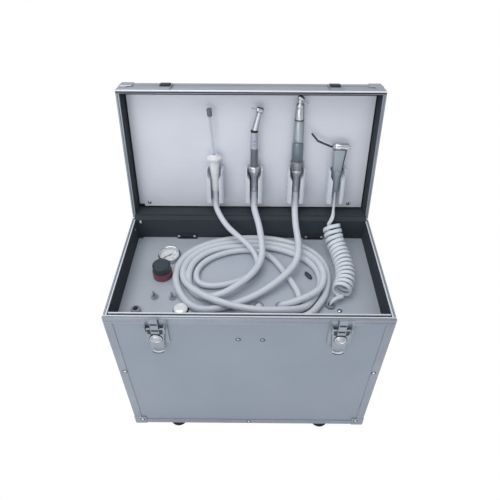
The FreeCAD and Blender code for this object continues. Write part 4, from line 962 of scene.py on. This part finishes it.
# Black rings under the screw heads and front rivets: painted shadow round them.
SCREW_SHADE_RING = ((2.4, 0), (4.1, 0), (4.1, 0.3), (2.4, 0.3), (2.4, 0))
SHADE_RING_SINK = 0.05
FOOT_SKIRT = ((0, -14.0), (15.6, -14.0), (16.6, -13.2), (16.6, -9.0), (15.4, -6.0), (14.4, -0.1), (0, -0.1))
BUFFER_HALF = 8.6
STRIKE_OUT = 1.4
STRIKE_TOP_Q = 36.0


def add_filler_cap():
    """Low polished cap, painted near white as a highlight, on a black ring in the rubber finish, which
    paints the shadow round its foot.
    """
    foot = (*FILLER, PANEL_Z)
    shade_ring = lathe("filler_shade_ring", FILLER_SHADE_RING, foot, (0, 0, 1), place, 40)
    finish_piece(shade_ring, "foot_rubber", "filler_cap", "filler_cap")
    cap = lathe("filler_cap_top", FILLER_TOP, foot, (0, 0, 1), place, 40)
    finish_piece(cap, "cap_chrome", "filler_cap", "filler_cap", rounding=0.2)


def add_screws():
    """Screws of the corner trims, and the black rings under them and the front rivets, painted shadow round
    their heads.
    """
    head = lathe("trim_screw", SCREW_HEAD, TRIM_SCREWS[0], (0, -1, 0), place, 20)
    for piece in at_each(head, numbered("trim_screw", len(TRIM_SCREWS)), TRIM_SCREWS):
        finish_piece(piece, "bright_metal", "case")
    spots = [(x, y + SHADE_RING_SINK, z) for x, y, z in TRIM_SCREWS + FRONT_RIVETS]
    shade_ring = lathe("screw_shade_ring", SCREW_SHADE_RING, spots[0], (0, -1, 0), place, 24)
    for piece in at_each(shade_ring, numbered("screw_shade_ring", len(spots)), spots):
        finish_piece(piece, "hinge_black", "case")


def add_feet():
    """Flared skirts of the rubber feet."""
    skirt = lathe("foot_skirt", FOOT_SKIRT, FEET[0], (0, 0, 1), place, 40)
    for piece in at_each(skirt, numbered("foot_skirt", len(FEET)), FEET):
        finish_piece(piece, "foot_rubber", "case")


def strike_spot(x, y, z):
    """A point over the lid's front wall: across, down from the closed top, out of the wall."""
    return lid_place(x, CASE_D + STRIKE_OUT + z, STRIKE_TOP_Q - (CASE_D - y))


def add_strike_buffers():
    """Black buffers on the lid strikes."""
    low, high = (LATCH_X[0] - BUFFER_HALF, CASE_D - 15.0, 0), (LATCH_X[0] + BUFFER_HALF, CASE_D, 2.4)
    buffer = block("strike_buffer", low, high, strike_spot)
    for piece in at_each(buffer, sided("strike_buffer"), [(x, 0, 0) for x in LATCH_X]):
        finish_piece(piece, "hinge_black", "lid", rounding=0.7)


GAUGE_BEZEL = ((-3, 0.3), (-0.8, 0.3), (0, 1.2), (0, 4.6), (-0.6, 6.4), (-1.4, 7.0), (-2.4, 6.6), (-3, 5.2),
               (-3, 0.3))
DIAL_TOP = PANEL_Z + 2.25

# Marks and numbers of the scale; their steps are in degrees, and every third mark is longer.
TICKS = 31
TICK_STEP = 9
TICK_HALF = 0.35
TICK_H = 0.12
TICK_END = GAUGE_R - 3.6
NUMBERS = 6
NUMBER_STEP = 54
NUMBERS_R = 9.2
NUMBER_SIZE = 0.0044
NUMBER_H = 0.00005


def add_gauge():
    """Bezel, printed scale and numbers of the pressure gauge; its marks are coarser than real ones."""
    x, y = GAUGE
    outline = [(GAUGE_R + beyond, height) for beyond, height in GAUGE_BEZEL]
    bezel = lathe("gauge_bezel", outline, (x, y, PANEL_Z), (0, 0, 1), place, 48)
    finish_piece(bezel, "gauge_metal", "case", "gauge_case")
    ink = "needle_black"
    centre = Matrix.Translation(place(x, y, PANEL_Z))
    for remainders, start in (((0,), GAUGE_R - 6.6), ((1, 2), GAUGE_R - 5.0)):
        plan = ((start, -TICK_HALF), (TICK_END, -TICK_HALF), (TICK_END, TICK_HALF), (start, TICK_HALF))
        tick = prism("gauge_tick", [(x + u, y + v, DIAL_TOP) for u, v in plan], (0, 0, TICK_H), place)
        marks = [index for index in range(TICKS) if index % 3 in remainders]
        turns = [Matrix.Rotation(math.radians(index * TICK_STEP - 45), 4, "Z") for index in marks]
        moves = [centre @ turn @ centre.inverted() for turn in turns]
        for piece in copies(tick, [f"gauge_tick_{index}" for index in marks], moves):
            finish_piece(piece, ink, "case")
    for index in range(NUMBERS):
        angle = math.radians(225 - index * NUMBER_STEP)
        spot = place(x + NUMBERS_R * math.cos(angle), y + NUMBERS_R * math.sin(angle), DIAL_TOP + 0.05)
        clear_selection()
        bpy.ops.object.text_add(location=spot)
        label = bpy.context.object
        label.name = f"gauge_number_{index}"
        label.data.body = str(index * 2)
        label.data.size = NUMBER_SIZE
        label.data.extrude = NUMBER_H
        label.data.align_x = "CENTER"
        label.data.align_y = "CENTER"
        bpy.ops.object.convert(target="MESH")
        finish_piece(bpy.context.object, ink, "case")


# ---------------- latches

LEVER_FRONT = -7.0
LEVER_T = 2.4
LEVER_EDGE = ((13.0, 303.0), (13.0, 286.0), (10.6, 265.0), (9.6, 252.4), (7.2, 247.2), (3.0, 245.4))
FORK_SLOT = ((-6.4, 303.0), (-6.4, 286.0), (6.4, 286.0), (6.4, 303.0))
BUTTON_Z = 279.6
BUTTON = (
    (0, 0), (9.4, 0), (9.4, 1.2), (8.6, 2.2), (7.4, 2.2), (6.6, 1.0), (5.6, 0.8), (4.4, 1.8), (0, 2.0))
# A black ring round the latch button: painted shade.
BUTTON_SHADE_RING = ((8.0, 0), (10.2, 0), (10.2, 0.35), (8.0, 0.35), (8.0, 0))
LIP_Z = 253.4
HOOK_FRONT = -6.9
HOOK_SLOT_HALF = 5.2
# Black pads beside the fork: painted shade.
FORK_SHADE_PAD = ((11.6, 292.0), (6.8, 288.4), (6.8, 301.0), (11.6, 301.0))
LATCH_PIN = ((0, 0), (1.9, 0), (1.9, 0.9), (1.0, 1.5), (0, 1.5))
PIN_X = 12.9
PIN_Y = -5.8
PIN_Z = 301.0


def on_both_latches(piece, name, finish, body, node=None, rounding=0.0):
    """Finishes a piece modelled on the left latch and its copy on the right; {} in the name is the side."""
    pair = at_each(piece, [name.format(side) for side in SIDES], [(x, 0, 0) for x in LATCH_X])
    for side, one in zip(SIDES, pair):
        finish_piece(one, finish, f"{body}_{side}", f"{node}_{side}" if node else None, rounding=rounding)


def add_latches():
    """Levers with fork, tapered tongue, round button and finger lip, and the dark slots of their hooks. The
    black slots, the black ring round the button, the pads beside the fork and the strip under the lip are
    painted shade; the lip's pale finish is a painted highlight.
    """
    x = LATCH_X[0]
    steel, black = "latch_plate_steel", "hinge_black"
    outline = [*LEVER_EDGE, *[(-w, z) for w, z in reversed(LEVER_EDGE)], *FORK_SLOT]
    lever = prism("latch_tongue", [(x + w, LEVER_FRONT, z) for w, z in outline], (0, LEVER_T, 0), place)
    on_both_latches(lever, "latch_tongue_{}", steel, "latch_lever", "latch_lever", 0.6)
    middle = (x, LEVER_FRONT, BUTTON_Z)
    button = lathe("latch_button", BUTTON, middle, (0, -1, 0), place, 32)
    on_both_latches(button, "latch_button_{}", "instrument_steel", "latch_lever", rounding=0.2)
    button_shade = lathe("latch_button_gasket", BUTTON_SHADE_RING, middle, (0, -1, 0), place, 32)
    on_both_latches(button_shade, "latch_button_gasket_{}", black, "latch_lever")
    arc = [math.radians(205 + 13 * step) for step in range(11)]
    # The finger lip is painted pale as a highlight; the black strip under it paints its shadow.
    for label, finish, outer, inner, near, depth in (
            ("finger_lip", "lid_bead_painted_highlight", 10.1, 7.0, 0.2, 2.8),
            ("lip_painted_shade", black, 10.5, 8.1, -2.5, 0.48)):
        crescent = [(outer * math.cos(a), LIP_Z + 0.8 * outer * math.sin(a)) for a in arc]
        crescent += [(inner * math.cos(a), LIP_Z + 0.8 * inner * math.sin(a)) for a in reversed(arc)]
        corners = [(x + w, LEVER_FRONT + near, z) for w, z in crescent]
        lip = prism("latch_lip", corners, (0, -depth, 0), place)
        on_both_latches(lip, f"latch_{label}_{{}}", finish, "latch_lever", rounding=0.3)
    # Black slabs on the hooks' claw and link: painted shade of their slots.
    for label, z0, z1 in (("claw", 310.4, 314.2), ("link", 296.0, 300.0)):
        low, high = (x - HOOK_SLOT_HALF, HOOK_FRONT - 0.25, z0), (x + HOOK_SLOT_HALF, HOOK_FRONT + 0.2, z1)
        slot_shade = block("latch_slot_shade", low, high, place)
        on_both_latches(slot_shade, f"latch_{label}_slot_{{}}", black, "latch_hook", rounding=0.2)
    for end, sign in (("a", -1), ("b", 1)):
        corners = [(x + sign * w, LEVER_FRONT + 0.2, z) for w, z in FORK_SHADE_PAD]
        fork_shade = prism("latch_fork_pad", corners, (0, -0.35, 0), place)
        on_both_latches(fork_shade, f"latch_fork_pad_{{}}_{end}", black, "latch_lever")
        pin = lathe("latch_pin", LATCH_PIN, (x + sign * PIN_X, PIN_Y, PIN_Z), (sign, 0, 0), place, 16)
        on_both_latches(pin, f"latch_pin_{{}}_{end}", steel, "latch_lever")


# ---------------- instruments

# An instrument's seat is its place across the lid, the body that it rides on and the node that it replaces.
TURBINE = (HOLDER_X[1], "turbine", "turbine_handpiece")
TURBINE_BUR = (HOLDER_X[1], "turbine_bur", "turbine_bur")
MOTOR = (HOLDER_X[2], "motor", "air_motor")
SPEED_RING = (HOLDER_X[2], "speed_ring", "speed_ring")
CONTRA = (HOLDER_X[2], "contra_angle", "contra_angle")
CONTRA_BUR = (HOLDER_X[2], "contra_angle_bur", "contra_angle_bur")
EJECTOR = (HOLDER_X[0], "ejector", "ejector_handle")
EJECTOR_COLLAR = (HOLDER_X[0], "ejector_collar", "ejector_collar")
EJECTOR_TUBE = (HOLDER_X[0], "ejector", "ejector_tube")
SYRINGE = (HOLDER_X[3], "syringe", "syringe_body")


def lid_axes(x, q, s):
    """The lid's frame in the order across, back, up."""
    return lid_place(x, s, q)


def instrument(seat, name, finish, outline, up=(0, 0, 1), at=None, corners=32, rounding=0.0, band=None):
    """One turned part of an instrument, its outline (radius, height) in mm in the lid's frame."""
    x, body, node = seat
    piece = lathe(name, outline, at or (x, AXIS_Q, 0.0), up, lid_axes, corners)
    if band:
        knurl(piece, corners, *band)
    finish_piece(piece, finish, body, node, rounding=rounding)


def leaning(degrees):
    """Directions along and across a part that leans to the right of straight up by an angle."""
    lean = math.radians(degrees)
    return (math.sin(lean), 0, math.cos(lean)), (math.cos(lean), 0, -math.sin(lean))


HANDPIECE_TAIL = (
    (0, 53.2), (HOSE_R + 0.15, 53.2), (HOSE_R + 0.15, 50), (6.15, 50), (6.3, 50.8), (6.3, 54), (6.0, 54.4),
    (6.0, 55.4), (6.3, 55.8), (6.3, 78), (10.2, 86.6), (10.4, 87.2), (10.4, 88.2), (0, 88.2))
TURBINE_COUPLING = (
    (0, 87.9), (10.2, 87.9), (11.0, 88.7), (11.0, 91.2), (11.0, 93.7), (11.0, 96.2), (10.0, 97.6),
    (6.6, 98.6), (0, 98.6))
TURBINE_SLEEVE = ((0, 128.8), (6.1, 128.8), (6.2, 130), (6.0, 150), (5.9, 158), (0, 158))
TURBINE_RING = ((0, 157.8), (6.1, 157.8), (6.25, 158.3), (6.25, 160.2), (5.6, 161.6), (0, 161.6))
TURBINE_DOT = ((0, 0), (1.1, 0), (1.0, 0.3), (0, 0.35))
TURBINE_DOT_S = (137.0, 143.0)
DOT_OUT = 5.95
TURBINE_NECK = (
    (0, -1.5), (2.6, -1.2), (4.4, 0), (5.2, 1.8), (5.2, 4), (4.8, 12), (4.3, 22), (3.9, 32), (3.7, 37),
    (0, 37))
TURBINE_HEAD = (
    (1.0, -6.0), (3.2, -6.0), (4.4, -5.4), (4.9, -4.2), (4.9, -2.2), (4.6, -2.0), (4.6, -1.4), (4.9, -1.2),
    (4.9, 3.8), (4.5, 5.0), (3.4, 5.8), (1.4, 6.0), (0, 6.0), (0, 2.0), (1.0, 2.0), (1.0, -6.0))
TURBINE_BUR_TIP = (
    (0, -14.5), (0.9, -14.3), (1.2, -12.6), (0.7, -11.4), (0.8, -9.0), (0.8, -5.5), (0, -5.5))


def add_turbine():
    """Turbine: chrome tail, knurled coupling, two-tone grip, bent chrome neck and round head."""
    x = TURBINE[0]
    chrome, black = "instrument_steel", "needle_black"
    instrument(TURBINE, "turbine_tail", chrome, HANDPIECE_TAIL)
    instrument(TURBINE, "turbine_coupling", chrome, TURBINE_COUPLING, corners=36,
               band=(88.7, 96.2, 3, 0.35))
    grip = [(0, 98.4), (6.7, 98.4), (6.5, 102)]
    for s in range(106, 128, 3):
        grip += [(6.4, s), (6.05, s + 0.4), (6.05, s + 1.0), (6.4, s + 1.4)]
    grip += [(6.3, 129), (0, 129)]
    instrument(TURBINE, "turbine_grip_low", "turbine_grip", grip)
    instrument(TURBINE, "turbine_grip_high", "turbine_sleeve", TURBINE_SLEEVE)
    instrument(TURBINE, "turbine_dark_ring", black, TURBINE_RING)
    low_dot = (x, AXIS_Q - DOT_OUT, TURBINE_DOT_S[0])
    dot = lathe("turbine_dot", TURBINE_DOT, low_dot, (0, -1, 0), lid_axes, 12)
    spots = [lid_axes(x, AXIS_Q - DOT_OUT, s) for s in TURBINE_DOT_S]
    moves = [Matrix.Translation(spot - spots[0]) for spot in spots]
    for piece in copies(dot, [f"turbine_dot_{s:.0f}" for s in TURBINE_DOT_S], moves):
        finish_piece(piece, black, *TURBINE[1:])
    up, across = leaning(14.0)
    elbow = (x, AXIS_Q, 158.5)
    instrument(TURBINE, "turbine_neck", chrome, TURBINE_NECK, up=up, at=elbow)
    middle = tuple(e + TURBINE_NECK[-1][1] * u for e, u in zip(elbow, up))
    instrument(TURBINE, "turbine_head", chrome, TURBINE_HEAD, up=across, at=middle)
    instrument(TURBINE_BUR, "turbine_bur_tip", "bur_steel", TURBINE_BUR_TIP, up=across, at=middle)


MOTOR_COLLAR = ((0, 88.0), (10.3, 88.0), (11.0, 88.8), (11.0, 90.0), (10.2, 90.6), (10.2, 92.0), (0, 92.0))
MOTOR_SHELL = (
    (0, 92.0), (8.6, 92.0), (8.6, 108.0), (9.3, 108.0), (9.7, 108.6), (9.7, 138.0), (9.2, 139.2),
    (7.0, 141.0), (0, 141.0))
SPEED_RING_OUTLINE = (
    (8.7, 92.4), (10.4, 92.4), (10.7, 93.0), (10.7, 97.4), (10.7, 101.8), (10.7, 106.2), (10.4, 107.6),
    (8.7, 107.6), (8.7, 92.4))
CONTRA_SLEEVE = (
    (4.1, 141.4), (8.6, 141.4), (9.0, 142.2), (8.9, 150), (8.4, 174), (7.9, 176.4), (7.4, 176.6),
    (7.4, 178.4), (0, 178.4), (0, 150.6), (4.1, 150.6), (4.1, 141.4))
CONTRA_RING = ((0, 178.3), (8.2, 178.3), (8.2, 180.0), (0, 180.0))
CONTRA_NECK = (
    (0, 179.9), (7.6, 179.9), (7.7, 181), (7.2, 196.5), (6.4, 198.0), (6.2, 198.8), (6.9, 200.0),
    (6.9, 202.6), (6.0, 205.0), (4.5, 206.4), (4.2, 208.0), (4.2, 213.0), (0, 213.0))
CONTRA_HEAD = (
    (0, -5.2), (2.2, -5.1), (3.6, -4.4), (4.2, -3.0), (4.2, 2.0), (3.9, 2.3), (3.9, 3.0), (4.2, 3.3),
    (4.0, 4.4), (3.0, 5.0), (0, 5.0))
CONTRA_BUR_TIP = (
    (0, 5.0), (1.6, 5.0), (1.6, 6.4), (0.9, 7.0), (0.9, 12.4), (1.2, 13.2), (0.9, 15.0), (0, 15.0))


def add_motor():
    """Air motor with its knurled ring, and the contra-angle on it."""
    chrome = "instrument_steel"
    instrument(MOTOR, "motor_tail", chrome, HANDPIECE_TAIL)
    instrument(MOTOR, "motor_collar", chrome, MOTOR_COLLAR)
    instrument(MOTOR, "motor_shell", "motor_dark", MOTOR_SHELL)
    instrument(SPEED_RING, "speed_ring_knurled", "ring_steel", SPEED_RING_OUTLINE, corners=36,
               band=(93.0, 106.2, 3, 0.8))
    instrument(CONTRA, "contra_sleeve", "contra_satin", CONTRA_SLEEVE)
    instrument(CONTRA, "contra_dark_ring", "needle_black", CONTRA_RING, rounding=0.2)
    instrument(CONTRA, "contra_neck", chrome, CONTRA_NECK)
    across = leaning(35.0)[1]
    middle = (MOTOR[0] + 0.8, AXIS_Q, 214.5)
    instrument(CONTRA, "contra_head", chrome, CONTRA_HEAD, up=across, at=middle)
    instrument(CONTRA_BUR, "contra_bur", "bur_steel", CONTRA_BUR_TIP, up=across, at=middle)


EJECTOR_GRIP = (
    (0, 52.4), (5.15, 52.4), (5.15, 50), (6.0, 50), (6.3, 50.6), (6.95, 60), (6.95, 79), (8.0, 86.4),
    (8.2, 88), (8.2, 105.6), (7.6, 106.8), (0, 106.8))
EJECTOR_SHUT_OFF = (
    (4.1, 107.4), (10.4, 107.4), (12.4, 108.8), (13.0, 110.6), (12.8, 112.6), (10.6, 114.2), (7.6, 115.8),
    (6.2, 117.9), (4.1, 117.9), (4.1, 107.4))
EJECTOR_SPIGOT = ((0, 106.7), (3.9, 106.7), (3.9, 116.2), (0, 116.2))
CLEAR_TUBE = ((0, 0.0), (2.7, 0.0), (2.7, 69.0), (0, 69.0))
EJECTOR_WIRE = ((0, 0.2), (0.8, 0.2), (0.8, 68.5), (0, 68.5))


def add_ejector():
    """Saliva ejector: moulded handle and shut-off collar, clear tube on its wire, and strainer tip."""
    cream = "ejector_cream"
    instrument(EJECTOR, "ejector_grip", cream, EJECTOR_GRIP)
    instrument(EJECTOR_COLLAR, "ejector_shut_off", cream, EJECTOR_SHUT_OFF)
    instrument(EJECTOR, "ejector_spigot", cream, EJECTOR_SPIGOT, rounding=0.2)
    up = leaning(-4.0)[0]
    foot = (EJECTOR[0], AXIS_Q, 116.2)
    instrument(EJECTOR_TUBE, "ejector_clear_tube", "clear_tube", CLEAR_TUBE, up=up, at=foot)
    instrument(EJECTOR_TUBE, "ejector_wire", "ejector_wire", EJECTOR_WIRE, up=up, at=foot, corners=12)
    tip = [(0, 67.8), (3.6, 67.8)]
    for s in (69, 72, 75, 78):
        tip += [(4.3, s), (4.3, s + 1.6), (3.5, s + 1.9), (3.5, s + 2.7)]
    tip += [(3.2, 81.0), (0, 81.0)]
    instrument(EJECTOR_TUBE, "ejector_strainer", "strainer_grey", tip, up=up, at=foot)


SYRINGE_TAIL = (
    (0, 52.4), (4.2, 52.4), (4.2, 50), (5.0, 50), (5.4, 50.6), (6.8, 56), (6.8, 79), (8.2, 86.6), (8.2, 91),
    (0, 91))
SYRINGE_FLARE = ((-8.2, 89.0), (7.6, 89.0), (8.6, 106.0), (11.6, 128.0), (-9.5, 128.0), (-8.8, 108.0))
FLARE_HALF = 7.0
# A black wedge down the syringe's right side: painted shade on the back of the handle.
SYRINGE_SHADE_WEDGE = ((11.0, 128.4), (12.9, 126.0), (10.2, 106.0), (8.9, 92.0), (8.0, 92.0), (9.0, 108.0))
SHADE_WEDGE_HALF = 4.0
SYRINGE_HEAD = (
    (2.0, -8.0), (4.8, -8.0), (6.0, -7.0), (6.4, -5.6), (6.4, 3.0), (5.6, 3.6), (5.6, 5.0), (6.4, 5.6),
    (6.5, 13.6), (6.0, 15.0), (0, 15.0), (0, -5.5), (2.0, -5.5), (2.0, -8.0))
SYRINGE_NUT = (
    (2.0, -11.0), (4.2, -11.0), (5.0, -10.2), (5.0, -8.6), (4.2, -7.9), (2.0, -7.9), (2.0, -11.0))


def add_syringe():
    """Three-way syringe: flared body, a black wedge down its right side that paints the shade on the back
    of the handle, chrome cross head and a nut on the nozzle.
    """
    x, body, node = SYRINGE
    satin = "syringe_grey"
    instrument(SYRINGE, "syringe_tail", satin, SYRINGE_TAIL)
    corners = [(x + w, AXIS_Q - FLARE_HALF, s) for w, s in SYRINGE_FLARE]
    flare = prism("syringe_flare", corners, (0, 2 * FLARE_HALF, 0), lid_axes)
    finish_piece(flare, satin, body, node, rounding=3.0, steps=4)
    corners = [(x + w, AXIS_Q - SHADE_WEDGE_HALF, s) for w, s in SYRINGE_SHADE_WEDGE]
    shade_wedge = prism("syringe_shade_wedge", corners, (0, 2 * SHADE_WEDGE_HALF, 0), lid_axes)
    finish_piece(shade_wedge, "needle_black", body, node, rounding=0.3)
    across = (1, 0, 0)
    centre = (x, AXIS_Q, 133.0)
    instrument(SYRINGE, "syringe_cross_head", "bright_metal", SYRINGE_HEAD, up=across, at=centre)
    instrument(SYRINGE, "syringe_nut", "instrument_steel", SYRINGE_NUT, up=across, at=centre, corners=24,
               band=(-10.2, -8.6, 1, 0.3))


# ---------------- stage

FLOOR_SIZE = 30
FLOOR_Z = -0.0002


def add_floor():
    """The pale floor that the unit stands on: even white where the camera sees it, a white diffuse surface
    for the light it bounces.
    """
    bpy.ops.object.select_all(action="DESELECT")
    bpy.ops.mesh.primitive_plane_add(size=FLOOR_SIZE, location=(0, 0, FLOOR_Z))
    floor = bpy.context.object
    floor.name = "floor"
    material, tree = empty_material("white_floor")
    rays = add(tree, "ShaderNodeLightPath")
    paint = add(tree, "ShaderNodeBsdfDiffuse", {"Color": shade("ffffff")})
    glow = add(tree, "ShaderNodeEmission", {"Color": shade("ffffff"), "Strength": 1.0})
    seen = add(tree, "ShaderNodeMixShader", {
        0: rays.outputs["Is Camera Ray"], 1: paint.outputs[0], 2: glow.outputs[0]})
    add(tree, "ShaderNodeOutputMaterial", {"Surface": seen.outputs[0]})
    floor.data.materials.append(material)


bpy.context.scene.view_settings.view_transform = "Standard"
add_camera()
add_light()
add_floor()
dress_cad_nodes()
make_hoses()
add_liners()
add_rims()
add_front_ledge()
add_hinge_cover()
add_hinge_backing()
add_stay_catch()
add_hose_clip()
add_filler_cap()
add_screws()
add_strike_buffers()
add_feet()
add_gauge()
add_latches()
add_turbine()
add_motor()
add_ejector()
add_syringe()
